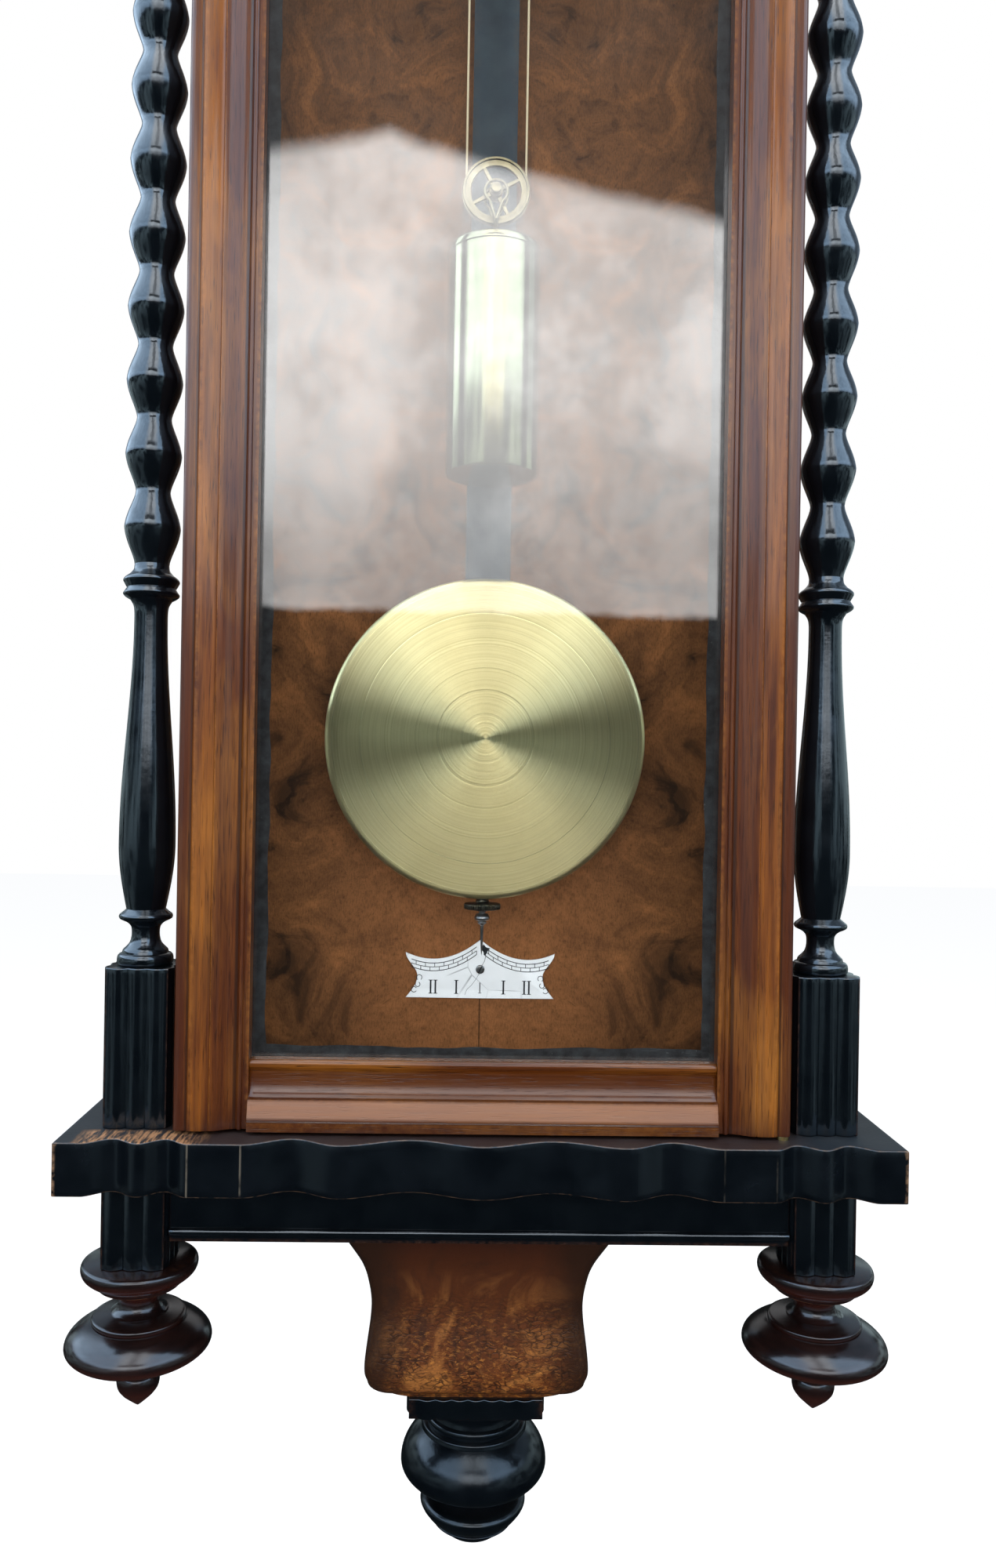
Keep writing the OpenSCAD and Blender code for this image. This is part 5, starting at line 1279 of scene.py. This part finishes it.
up = fillet([(101.5, 113.45), (111.9, 113.45), (111.9, 109.6), (106.4, 109.6), (103.6, 112.2)],
            28.7, 838.2, flat_way, 160)
low_strip = fillet([(113.45, 28.7), (113.45, 38.1), (112.2, 36.0), (109.6, 33.2), (109.6, 28.7)],
                   -101.6, 101.6, side_way, 60)
high_strip = fillet([(113.45, 838.3), (113.45, 828.9), (112.2, 831.0), (109.6, 833.8),
                     (109.6, 838.3)], -101.6, 101.6, side_way, 60)
strips = [uneven(s, 0.0011, 60) for s in (up, mirrored_x(up), low_strip, high_strip)]
make_piece("putty_fillets", together(*strips), putty, "door", ["glazing_beads"], 50)

# ---------------------------------------------------------------- door fittings
# Brass pivots at the hinge side, and brass studs and two brass hooks on the other
# side. They are turned or cut from sheet, and dull with old lacquer.
turning_marks, enter, leave = new_group(
    "turning_marks", [("Vector", "Vector", None), ("Fineness", "Float", 1400.0)],
    [("Rings", "Float"), ("Deep", "Float")])
g = turning_marks
flat = scaled(g, enter.outputs["Vector"], (1.0, 0.0, 1.0))
reach = put(g, "ShaderNodeVectorMath", {0: flat}, operation="LENGTH").outputs["Value"]
ring = put(g, "ShaderNodeCombineXYZ", {"X": reach, "Y": 0.3, "Z": 0.1}).outputs[0]
wobble = scaled(g, put(g, "ShaderNodeTexNoise", {"Vector": enter.outputs["Vector"], "Scale": 14.0,
                                                 "Detail": 1.0}).outputs["Color"],
                (0.0011, 0.0, 0.0))
ring = vector_maths(g, "ADD", ring, wobble)
g.links.new(speckle(g, ring, enter.outputs["Fineness"], 5.0, 0.65), leave.inputs["Rings"])
g.links.new(stretch(g, speckle(g, ring, 340.0, 3.0), 0.57, 0.70), leave.inputs["Deep"])


def metal_finish(name, base, tarnish, rough, scale=240.0, spread=0.10):
    """Old lacquered metal: fine scratches and clouded patches."""
    material, tree, metal = start_finish(name)
    spot = own_place(tree)
    edges = use_group(tree, handled_edges, {"Vector": spot, "Amount": 0.7})
    clouds = stretch(tree, speckle(tree, spot, scale, 5.0, 0.6), 0.40, 0.72)
    colour = tint(tree, clouds, base, tarnish)
    colour = tint(tree, edges.outputs["Mask"], colour, tuple(min(1.0, c * 1.4) for c in base))
    tree.links.new(colour, metal.inputs["Base Color"])
    metal.inputs["Metallic"].default_value = 1
    scratches = speckle(tree, scaled(tree, spot, (1.0, 1.0, 0.08)), 2600.0, 3.0, 0.6)
    tree.links.new(stretch(tree, plus(tree, clouds, scratches), 0.3, 1.4, rough, rough + spread),
                   metal.inputs["Roughness"])
    raise_surface(tree, metal, scratches, 0.000012)
    return material


brass = metal_finish("brass_old", (0.42, 0.31, 0.13), (0.26, 0.18, 0.07), 0.28)
brass_bright = metal_finish("brass_bright", (0.23, 0.20, 0.12), (0.15, 0.125, 0.07), 0.30)
steel = metal_finish("steel_grey", (0.33, 0.33, 0.33), (0.20, 0.18, 0.16), 0.32)
blued = metal_finish("steel_blued", (0.030, 0.045, 0.105), (0.02, 0.025, 0.05), 0.22)
for name in ("door_pivots", "door_fittings", "latch_posts", "latch_hook_upper", "latch_hook_lower"):
    dress_node(name, brass)


# ---------------------------------------------------------------- beat scale
# A small white-enamelled plate behind the pendulum's point, cut to a peak and two
# horns, printed with a banded scale and strokes, and fixed by one black screw.
enamel, tree, vitreous = start_finish("white_enamel")
spot = own_place(tree)
veins = put(tree, "ShaderNodeTexVoronoi", {"Vector": spot, "Scale": 34.0, "Randomness": 1.0},
            feature="DISTANCE_TO_EDGE").outputs["Distance"]
veins = times(tree, stretch(tree, veins, 0.010, 0.003),
              stretch(tree, speckle(tree, spot, 22.0, 3.0), 0.60, 0.70))
grime = stretch(tree, speckle(tree, spot, 150.0, 5.0), 0.45, 0.8)
colour = tint(tree, times(tree, grime, 0.16), (0.95, 0.985, 1.0), (0.62, 0.64, 0.63))
edges = use_group(tree, handled_edges, {"Vector": spot, "Amount": 0.6})
colour = tint(tree, edges.outputs["Mask"], colour, (0.20, 0.21, 0.22))
tree.links.new(tint(tree, times(tree, veins, 0.6), colour, (0.10, 0.11, 0.12)),
               vitreous.inputs["Base Color"])
vitreous.inputs["Roughness"].default_value = 0.18
raise_surface(tree, vitreous, speckle(tree, spot, 90.0, 3.0), 0.00012)
ink, tree, print_shader = start_finish("fired_black")
fade = stretch(tree, speckle(tree, own_place(tree), 700.0, 3.0), 0.35, 0.75)
tree.links.new(tint(tree, fade, (0.006, 0.007, 0.009), (0.035, 0.04, 0.045)),
               print_shader.inputs["Base Color"])
print_shader.inputs["Roughness"].default_value = 0.3

peak = 75.6


def top_edge(t):
    """The scale's upper edge from the peak, t = 0, to the tip of a horn, t = 1."""
    return 40.8 * t, (1 - t) ** 2 * peak + 2 * t * (1 - t) * (peak - 17.0) + t * t * (peak - 7.3)


edge = [(0, peak)] + [top_edge(i / 16) for i in range(1, 17)]
edge += [(eased(40.8, 34.3, i / 10), peak - 7.3 - 12.9 * i / 10) for i in range(1, 11)]
edge += [(34.3 + 6.2 * (1 - cos(pi / 2 * i / 10)), peak - 20.2 - 11.8 * i / 10)
         for i in range(1, 11)]
edge += [(0, peak - 32.2)]
plate = mirror_outline(edge)
make_piece("beat_plate_enamelled", slab(plate, 20, 21.4, face_way, 0.35), enamel, "case",
           ["beat_plate"])


def stroke(x0, h0, x1, h1, w, depth, thick=0.06):
    """A flat printed line between two points of a face."""
    a, b = Vector((x0, h0)), Vector((x1, h1))
    side = (b - a).normalized() * w / 2
    side = Vector((-side.y, side.x))
    corners = [a - side, b - side, b + side, a + side]
    return slab([tuple(c) for c in corners], depth - 0.03, depth + thick, face_way, 0.001, 1)


def printed_line(points, w, depth):
    return together(*[stroke(*a, *b, w, depth) for a, b in zip(points, points[1:])])


# Strokes set out evenly along an arc about a centre, each one a small bar that
# points to the centre. The dial's rings and the beat scale's divisions use it.
stroke_ring, enter, leave = new_growth("stroke_ring",
                                       [("Count", "Int", 60), ("Radius", "Float", 0.07),
                                        ("Start", "Float", 0.0), ("Step", "Float", 6.0),
                                        ("Size", "Vector", (0.0005, 0.00006, 0.003)),
                                        ("Finish", "Material", None)])
g = stroke_ring
dots = put(g, "GeometryNodePoints", {"Count": enter.outputs["Count"]})
angle = plus(g, times(g, put(g, "GeometryNodeInputIndex").outputs[0], enter.outputs["Step"]),
             enter.outputs["Start"])
angle = maths(g, "RADIANS", angle)
side = times(g, maths(g, "SINE", angle), enter.outputs["Radius"])
high = times(g, maths(g, "COSINE", angle), enter.outputs["Radius"])
spot = put(g, "ShaderNodeCombineXYZ", {"X": side, "Z": high})
spread = put(g, "GeometryNodeSetPosition",
             {"Geometry": dots.outputs[0], "Position": spot.outputs[0]})
bar = put(g, "GeometryNodeMeshCube", {"Size": enter.outputs["Size"]})
turned = put(g, "ShaderNodeCombineXYZ", {"Y": angle})
copies = put(g, "GeometryNodeInstanceOnPoints",
             {"Points": spread.outputs[0], "Instance": bar.outputs[0],
              "Rotation": turned.outputs[0]})
close_tree(g, copies.outputs[0], enter, leave)


def ring_of_strokes(count, radius, start, step, width, length, at):
    mesh = grown_mesh(stroke_ring, {"Count": count, "Radius": radius / 1000, "Start": start,
                                    "Step": step, "Size": (width / 1000, 0.00009, length / 1000)},
                      ink)
    return mesh_shape(mesh, at)


face = 21.42
marks = []
under_edge = [top_edge(0.05 + 0.87 * i / 24) for i in range(25)]
for drop_by, w in ((2.3, 0.42), (4.4, 0.34), (6.5, 0.42)):
    marks.append(printed_line([(x, h - drop_by) for x, h in under_edge], w, face))
for i in range(15):
    x, h = top_edge(0.05 + 0.87 * i / 14)
    marks.append(stroke(x, h - (2.3 if i % 2 else 4.4), x, h - (4.4 if i % 2 else 6.5), 0.34, face))
for x in (12.9, 24.3, 26.9):
    marks.append(stroke(x, 53.2, x, 46.0, 0.90, face))
    marks.append(stroke(x - 1.1, 53.2, x + 1.1, 53.2, 0.38, face))
    marks.append(stroke(x - 1.1, 46.0, x + 1.1, 46.0, 0.38, face))
for cx, ch, r, a0, a1 in ((33.2, 54.6, 1.5, -60, 230), (34.0, 50.8, 1.3, 120, 400),
                          (36.0, 48.0, 1.5, -150, 150)):
    marks.append(printed_line(arc_points(cx, ch, r, r, a0, a1, 12), 0.38, face))
half_print = together(*marks)
middle_mark = together(stroke(0, 52.2, 0, 46.4, 0.5, face),
                       stroke(-0.9, 46.4, 0.9, 46.4, 0.25, face))
chip = slab([(1.6, 73.2), (3.2, 71.4), (5.4, 70.9), (4.2, 69.6), (2.6, 66.6), (1.7, 68.8),
             (0.6, 70.4)], face - 0.02, face + 0.02, face_way, 0.002, 1)
crack = printed_line([(1.0, 61.4), (2.4, 64.0), (3.0, 66.6)], 0.22, face)
crack_low = printed_line([(-0.4, 57.0), (-2.6, 53.4), (-4.6, 50.6), (-7.0, 48.4), (-8.2, 45.2)],
                         0.16, face)
make_piece("beat_plate_print", together(half_print, mirrored_x(half_print), middle_mark, chip,
                                        crack, crack_low), ink, "case")


def slotted_screw(x, height, depth, r, thick, at_angle=20, dome=0.5):
    """A screw's head with a slot across it, its axis square to the wall."""
    profile = lined_up([[(0, depth), (r, depth)], [(r, depth), (r, depth + thick * 0.6)],
                        [(r, depth + thick * 0.6), (r * 0.8, depth + thick * 0.9),
                         (r * 0.4, depth + thick), (0, depth + thick + dome * 0.1)]])
    head = turning(profile, facing_out(x, height), 24)
    a = Vector((cos(radians(at_angle)), sin(radians(at_angle)))) * r * 0.93
    slot_line = stroke(x - a.x, height - a.y, x + a.x, height + a.y, r * 0.24, depth + thick, 0.12)
    return head, slot_line


head, slot_line = slotted_screw(0, 59.4, 21.3, 2.4, 1.2, 62)
make_piece("beat_plate_screw_head", head, steel, "case", ["beat_plate_screw"])
make_piece("beat_plate_screw_slot", slot_line, ink, "case")


# ---------------------------------------------------------------- pendulum
# A flat black rod of wood, a turned brass bob with rings left by the lathe, a milled
# nut that lifts it, and a steel needle over the beat scale. It hangs by a thin spring.
def turned_brass(name, base, tarnish, rough, middle, upward):
    """Brass as it leaves the lathe: rings, and a gloss drawn out across them."""
    material, tree, metal = start_finish(name)
    spot = own_place(tree)
    around = put(tree, "ShaderNodeMapping",
                 {"Vector": spot, "Location": tuple(-c for c in middle)}).outputs[0]
    if upward:
        around = put(tree, "ShaderNodeCombineXYZ", {"X": part_of(tree, around, "Z")}).outputs[0]
    marks = use_group(tree, turning_marks, {"Vector": around, "Fineness": 800.0})
    clouds = stretch(tree, speckle(tree, spot, 42.0, 5.0, 0.6), 0.42, 0.75)
    fine = stretch(tree, marks.outputs["Rings"], 0.30, 0.70)
    colour = tint(tree, fine, tarnish, base)
    colour = tint(tree, times(tree, clouds, 0.35), colour, tarnish)
    colour = tint(tree, times(tree, marks.outputs["Deep"], 0.4), colour,
                  tuple(c * 0.5 for c in tarnish))
    tree.links.new(colour, metal.inputs["Base Color"])
    metal.inputs["Metallic"].default_value = 1
    tree.links.new(stretch(tree, fine, 0, 1, rough + 0.08, rough), metal.inputs["Roughness"])
    metal.inputs["Anisotropic"].default_value = 1.0
    metal.inputs["Anisotropic Rotation"].default_value = 0.25
    tangent = put(tree, "ShaderNodeTangent", direction_type="UV_MAP", uv_map="turning")
    tree.links.new(tangent.outputs[0], metal.inputs["Tangent"])
    raise_surface(tree, metal, plus(tree, marks.outputs["Rings"],
                                    times(tree, marks.outputs["Deep"], -0.7)), 0.00009)
    return material


bob_brass = turned_brass("brass_bob", (0.93, 0.84, 0.47), (0.64, 0.55, 0.27), 0.26,
                         (0, -0.044, -0.6635), False)
weight_brass = metal_finish("brass_weight", (0.255, 0.24, 0.135), (0.195, 0.18, 0.10), 0.13, 60.0,
                            0.05)
rim = arc_points(81, 47, 3, 3, 0, 80, 10)
pendulum_d, bob_h = 44, 184.5
bob_profile = [
    [(0, 38.3), (82, 38.3)],
    [(82, 38.3), (83.4, 38.9), (84, 40.3)],
    [(84, 40.3), (84, 47)],
    rim,
    [(80.5 * (1 - i / 16), 50 + 2.2 * sin(pi / 2 * i / 16)) for i in range(0, 17)]]
make_piece("bob_turned", turning(lined_up(bob_profile), facing_out(0, bob_h), 160), bob_brass,
           "pendulum", ["pendulum_bob"], 30)

rod_finish = black_finish("ebonised_rod", (0.012, 0.020, 0.027), 0.30, (0.05, 0.04, 0.03), 0.5,
                          0.16, 0.0)
half_w, half_t = 11.75, 4.0
back, front = pendulum_d - half_t, pendulum_d + half_t
rod = [(-half_w, back), (half_w, back), (half_w, front - 1.6), (7.35, front), (-7.35, front),
       (-half_w, front - 1.6)]
make_piece("rod_planed", slab(rod, 108.5, 734, flat_way, 0.35), rod_finish, "pendulum",
           ["pendulum_rod"], 20)

nut_h = 97.9
nut_metal = metal_finish("pewter_nut", (0.105, 0.092, 0.068), (0.060, 0.050, 0.036), 0.36)
knurled = []
for i in range(96):
    r = 9.6 if i % 2 else 9.25
    knurled.append((r * cos(2 * pi * i / 96), pendulum_d + r * sin(2 * pi * i / 96)))
disc = slab(knurled, nut_h - 3, nut_h, flat_way, 0.55)
hub = turning(lined_up([[(0, 0), (3.4, 0)], [(3.4, 0), (3.5, 1.2), (3.1, 2.2)],
                        [(3.1, 2.2), (0, 2.2)]]), standing(0, pendulum_d, nut_h - 0.02), 32)
lower = turning(lined_up([[(0, -1.1), (2.4, -1.1)], [(2.4, -1.1), (4.4, -0.4), (4.6, 0.1)],
                          [(4.6, 0.1), (0, 0.1)]]), standing(0, pendulum_d, nut_h - 3), 32)
make_piece("rating_nut_milled", together(disc, hub, lower), nut_metal, "pendulum",
           ["rating_nut"], 30)

tip = nut_h - 27.6
threaded = lined_up([[(0, nut_h - 8), (1.6, nut_h - 8)], [(1.6, nut_h - 8), (1.6, 108.5)],
                     [(1.6, 108.5), (0, 108.5)]])
collar = [
    [(0, nut_h - 11.4), (1.0, nut_h - 11.4)],
    [(1.0, nut_h - 11.4), (2.4, nut_h - 10.4), (2.0, nut_h - 9.4)],
    [(2.0, nut_h - 9.4), (3.9, nut_h - 8.4), (4.0, nut_h - 7.2), (3.0, nut_h - 5.4)],
    [(3.0, nut_h - 5.4), (0, nut_h - 5.4)]]
needle = [[(0, tip), (0.5, tip + 4), (0.95, nut_h - 11)], [(0.95, nut_h - 11), (0, nut_h - 11)]]
make_piece("pointer_needle", together(turning(threaded, standing(0, pendulum_d, 0), 20),
                                      turning(lined_up(collar), standing(0, pendulum_d, 0), 28),
                                      turning(lined_up(needle), standing(0, pendulum_d, 0), 16)),
           steel, "pendulum", ["beat_pointer"], 30)
dress_node("suspension_spring", steel)
dress_node("suspension_bracket", brass)

# ---------------------------------------------------------------- weight and pulley
# A lead-filled brass shell hangs by a wire stirrup from a light brass pulley with
# four spokes, which runs on a gut line from the drum to a lug on the seat bracket.
weight_low, weight_r, weight_d = 313.2, 22.7, 80
shell = [
    [(0, 0), (21.5, 0)],
    [(21.5, 0), (22.4, 0.3), (weight_r, 1.2)],
    [(weight_r, 1.2), (weight_r, 108)],
    [(weight_r, 108), (weight_r + 0.45, 108.5)],
    [(weight_r + 0.45, 108.5), (weight_r + 0.5, 110.8)],
    [(weight_r + 0.5, 110.8), (weight_r, 111.7), (22.0, 112)],
    [(22.0, 112), (21.2, 111.4), (20.6, 111.2)],
    [(20.6, 111.2), (0, 111.2)]]
make_piece("weight_shell_turned", turning(lined_up(shell), standing(0, weight_d, weight_low), 96),
           weight_brass, "weight", ["weight_shell"], 30)


def tube(path, radius, sides=10):
    """A round wire along the points of a path."""
    path = [Vector(p) for p in path]
    points, normal = [], None
    for j, p in enumerate(path):
        along = (path[min(j + 1, len(path) - 1)] - path[max(j - 1, 0)]).normalized()
        if normal is None:
            normal = along.orthogonal().normalized()
        normal = (normal - along * normal.dot(along)).normalized()
        cross = along.cross(normal)
        points += [p + (normal * cos(2 * pi * i / sides) + cross * sin(2 * pi * i / sides)) * radius
                   for i in range(sides)]
    return points, ring_faces(sides, len(path)), None


def hoop(section, height, sides):
    """A ring about an axis square to the wall: section is radius and depth, taken all round."""
    points, faces = [], []
    count = len(section)
    for i in range(sides):
        a = 2 * pi * i / sides
        points += [place(r * cos(a), d, height + r * sin(a)) for r, d in section]
        k = (i + 1) % sides
        for j in range(count):
            m = (j + 1) % count
            faces.append((i * count + j, i * count + m, k * count + m, k * count + j))
    return points, faces, None


pulley_h, wheel_r = 454.2, 16.75
loop = []
for i in range(37):
    a = pi * (i / 36) * 1.62 - pi * 0.81
    loop.append((5.6 * sin(a), pulley_h - 1.5 + 5.6 * cos(a)))
wires = []
for d in (76.4, 83.6):
    bow = [place(x, d, h) for x, h in loop]
    foot_pt = place(0, d, pulley_h - 15.5)
    wires.append(tube([foot_pt] + bow + [foot_pt], 0.00075, 10))
    wires.append(tube([place(0, d, pulley_h - 14.8),
                       place(0, d + (weight_d - d) * 0.35, pulley_h - 18.4),
                       place(0, weight_d, pulley_h - 21)], 0.0011, 10))
stem = turning(lined_up([[(0, 0), (4.0, 0)], [(4.0, 0), (3.6, 1.4), (1.6, 2.2)],
                         [(1.6, 2.2), (1.3, 9), (1.5, 9.8), (0, 10.4)]]),
               standing(0, weight_d, 424.9), 28)
axle = turning([(0, 75.2), (1.0, 75.2), (1.0, 84.8), (0, 84.8)], facing_out(0, pulley_h), 20)
caps = [turning(lined_up([[(0, d), (2.6, d)], [(2.6, d), (2.4, d + 0.9), (0, d + 1.1)]]),
                facing_out(0, pulley_h), 24) for d in (83.9, 75.0)]
make_piece("weight_stirrup_wire", together(*wires, stem, axle, *caps), brass_bright, "weight",
           ["weight_stirrup"], 40)

groove_r = 14.18
rim_section = [
    [(groove_r - 1.5, 79.0), (wheel_r - 1.5, 78.8)],
    [(wheel_r - 1.5, 78.8), (wheel_r - 1.3, 78.1), (wheel_r - 0.3, 78.0)],
    [(wheel_r - 0.3, 78.0), (wheel_r, 78.7)],
    [(wheel_r, 78.7), (groove_r + 0.25, 79.3), (groove_r, 80), (groove_r + 0.25, 80.7),
     (wheel_r, 81.3)],
    [(wheel_r, 81.3), (wheel_r - 0.3, 82.0)],
    [(wheel_r - 0.3, 82.0), (wheel_r - 1.3, 81.9), (wheel_r - 1.5, 81.2)],
    [(wheel_r - 1.5, 81.2), (groove_r - 1.5, 81.0)]]
rim = hoop(lined_up(rim_section, 3), pulley_h, 72)
spokes = []
for i in range(4):
    a = radians(28 + 90 * i)
    across_a = Vector((-sin(a), cos(a)))
    along_a = Vector((cos(a), sin(a)))
    outline = [along_a * 2.4 + across_a * 1.1, along_a * (groove_r - 1.2) + across_a * 0.8,
               along_a * (groove_r - 1.2) - across_a * 0.8, along_a * 2.4 - across_a * 1.1]
    spokes.append(slab([(p.x, pulley_h + p.y) for p in outline], 79.2, 80.8, face_way, 0.2, 1))
hub = turning(lined_up([[(0, 77.8), (3.2, 77.8)], [(3.2, 77.8), (3.4, 80), (3.2, 82.2)],
                        [(3.2, 82.2), (0, 82.2)]]), facing_out(0, pulley_h), 32)
make_piece("pulley_spoked", together(rim, hub, *spokes), brass_bright, "pulley",
           ["pulley"], 35)

gut, tree, strand = start_finish("gut_line")
twist = put(tree, "ShaderNodeTexWave", {"Vector": scaled(tree, own_place(tree), (1.0, 1.0, 0.8)),
                                        "Scale": 900.0, "Distortion": 1.5},
            bands_direction="DIAGONAL").outputs["Fac"]
tree.links.new(tint(tree, twist, (0.42, 0.34, 0.20), (0.66, 0.57, 0.38)),
               strand.inputs["Base Color"])
strand.inputs["Roughness"].default_value = 0.45
raise_surface(tree, strand, twist, 0.00008)
line_r, reach = 0.00055, 14.75
lug = 634.0
path = [place(-reach, weight_d, lug - (lug - pulley_h) * i / 40) for i in range(40)]
path += [place(-reach * cos(pi * i / 24), weight_d, pulley_h - reach * sin(pi * i / 24))
         for i in range(25)]
path += [place(reach, weight_d, pulley_h + (lug - pulley_h) * i / 40) for i in range(1, 41)]
line = make_piece("gut_line_loop", tube(path, line_r, 8), gut, None, ["gut_line"], 60)
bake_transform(line)
dress_node("line_ends", gut)

# ---------------------------------------------------------------- movement
# Brass plates with pillars, brass wheels on steel arbors, and a drum that holds the
# line. Anchor and crutch are steel. Little of it shows behind the dial.
for name in ("movement_plates", "movement_pillars", "great_wheel", "centre_wheel", "hour_wheel",
             "minute_wheel", "third_wheel", "escape_wheel", "drum"):
    dress_node(name, brass)
dress_node("pallet_arbor", steel)

line_coil, enter, leave = new_growth("line_coil", [
    ("Turns", "Float", 9.0), ("Radius", "Float", 0.01475), ("Pitch", "Float", 0.00118),
    ("Thickness", "Float", 0.00055), ("Points", "Int", 280), ("Finish", "Material", None)])
g = line_coil
strip = put(g, "GeometryNodeMeshLine", {"Count": enter.outputs["Points"]})
share = maths(g, "DIVIDE", put(g, "GeometryNodeInputIndex").outputs[0], enter.outputs["Points"])
turns = times(g, share, enter.outputs["Turns"])
angle = times(g, turns, 2 * pi)
side = times(g, maths(g, "COSINE", angle), enter.outputs["Radius"])
high = times(g, maths(g, "SINE", angle), enter.outputs["Radius"])
spot = put(g, "ShaderNodeCombineXYZ",
           {"X": side, "Y": times(g, times(g, turns, enter.outputs["Pitch"]), -1.0), "Z": high})
wound = put(g, "GeometryNodeSetPosition",
            {"Geometry": strip.outputs[0], "Position": spot.outputs[0]})
strand_line = put(g, "GeometryNodeMeshToCurve", {"Mesh": wound.outputs[0]})
round_end = put(g, "GeometryNodeCurvePrimitiveCircle",
                {"Resolution": 8, "Radius": enter.outputs["Thickness"]})
thick = put(g, "GeometryNodeCurveToMesh",
            {"Curve": strand_line.outputs[0], "Profile Curve": round_end.outputs[0],
             "Fill Caps": True})
close_tree(g, thick.outputs[0], enter, leave)
coil = grown_mesh(line_coil, {"Turns": 9.0, "Radius": 0.01478, "Pitch": 0.00118,
                              "Thickness": 0.0005, "Points": 300}, gut)
make_piece("line_on_drum", mesh_shape(coil, place(0, 71.2, 665.6)), gut, "drum", (), 60)

# ---------------------------------------------------------------- dial and hands
# A disc of white enamel with printed numerals and rings, a turned brass bezel and
# pierced hands of blued steel. The photograph stops below it.
dress_node("dial", enamel)
dial_h, dial_face = 702.0, 104.72
bezel_line = lined_up([
    [(76, 104.7), (76, 106.7)],
    [(76, 106.7), (76.6, 108.4), (78.4, 109.9), (80.6, 110.5), (82.6, 109.3), (83.2, 106.3)],
    [(83.2, 106.3), (83.2, 103.1)],
    [(83.2, 103.1), (78, 103.1)],
    [(78, 103.1), (78, 104.7)],
    [(78, 104.7), (76, 104.7)]])
make_piece("bezel_turned", hoop(bezel_line[:-1], dial_h, 144), brass_bright, "case",
           ["bezel"], 35)


def ring_line(r, w, depth, x=0.0, height=dial_h, steps=120):
    """A printed circle: r is its middle radius, and w its width."""
    rims = [(x + edge * cos(2 * pi * i / steps), height + edge * sin(2 * pi * i / steps))
            for edge in (r + w / 2, r - w / 2) for i in range(steps)]
    points = [place(a, d, b) for d in (depth, depth + 0.05) for a, b in rims]
    faces = []
    for i in range(steps):
        k = (i + 1) % steps
        a, b, c, d = i, k, steps + k, steps + i
        low = 2 * steps
        faces += [(a, d, c, b), (low + a, low + b, low + c, low + d), (a, b, low + b, low + a),
                  (d, low + d, low + c, c)]
    return points, faces, None


def numeral(text, angle, radius, size):
    curve = bpy.data.curves.new("numeral", "FONT")
    curve.body = text
    curve.size = size / 1000
    curve.align_x = curve.align_y = "CENTER"
    curve.extrude = 0.00003
    curve.resolution_u = 3
    carrier = bpy.data.objects.new("numeral", curve)
    bpy.context.scene.collection.objects.link(carrier)
    shown = bpy.context.evaluated_depsgraph_get()
    mesh = bpy.data.meshes.new_from_object(carrier.evaluated_get(shown))
    bpy.data.objects.remove(carrier)
    bpy.data.curves.remove(curve)
    narrow = Matrix.Diagonal((0.82, 1.25, 1, 1))
    upright_turn = Matrix.Rotation(angle, 4, "Y") @ Matrix.Rotation(pi / 2, 4, "X")
    at = place(radius * sin(angle), dial_face + 0.03, dial_h + radius * cos(angle))
    mesh.transform(Matrix.Translation(at) @ upright_turn @ narrow)
    shape = ([v.co.copy() for v in mesh.vertices], [tuple(p.vertices) for p in mesh.polygons], None)
    bpy.data.meshes.remove(mesh)
    return shape


hours = ("I", "II", "III", "IIII", "V", "VI", "VII", "VIII", "IX", "X", "XI", "XII")
numerals = [numeral(text, 2 * pi * (i + 1) / 12, 58.5, 15.0) for i, text in enumerate(hours)]
centre_at = place(0, dial_face, dial_h)
seconds_h = 737.754
seconds_at = place(0, dial_face, seconds_h)
dial_print = together(*numerals, ring_line(74.6, 0.3, dial_face), ring_line(71.0, 0.3, dial_face),
                      ring_line(49.5, 0.25, dial_face),
                      ring_of_strokes(60, 72.8, 0, 6, 0.35, 3.6, centre_at),
                      ring_of_strokes(12, 72.8, 0, 30, 1.1, 3.6, centre_at),
                      ring_line(16.2, 0.22, dial_face, 0, seconds_h, 72),
                      ring_line(14.2, 0.16, dial_face, 0, seconds_h, 72),
                      ring_of_strokes(60, 15.2, 0, 6, 0.16, 2.0, seconds_at),
                      ring_of_strokes(12, 15.0, 0, 30, 0.4, 2.4, seconds_at))
make_piece("dial_print", dial_print, ink, "case", (), 60)
for name in ("minute_hand", "hour_hand", "seconds_hand"):
    dress_node(name, blued)

# ---------------------------------------------------------------- end
low, high = solid_box
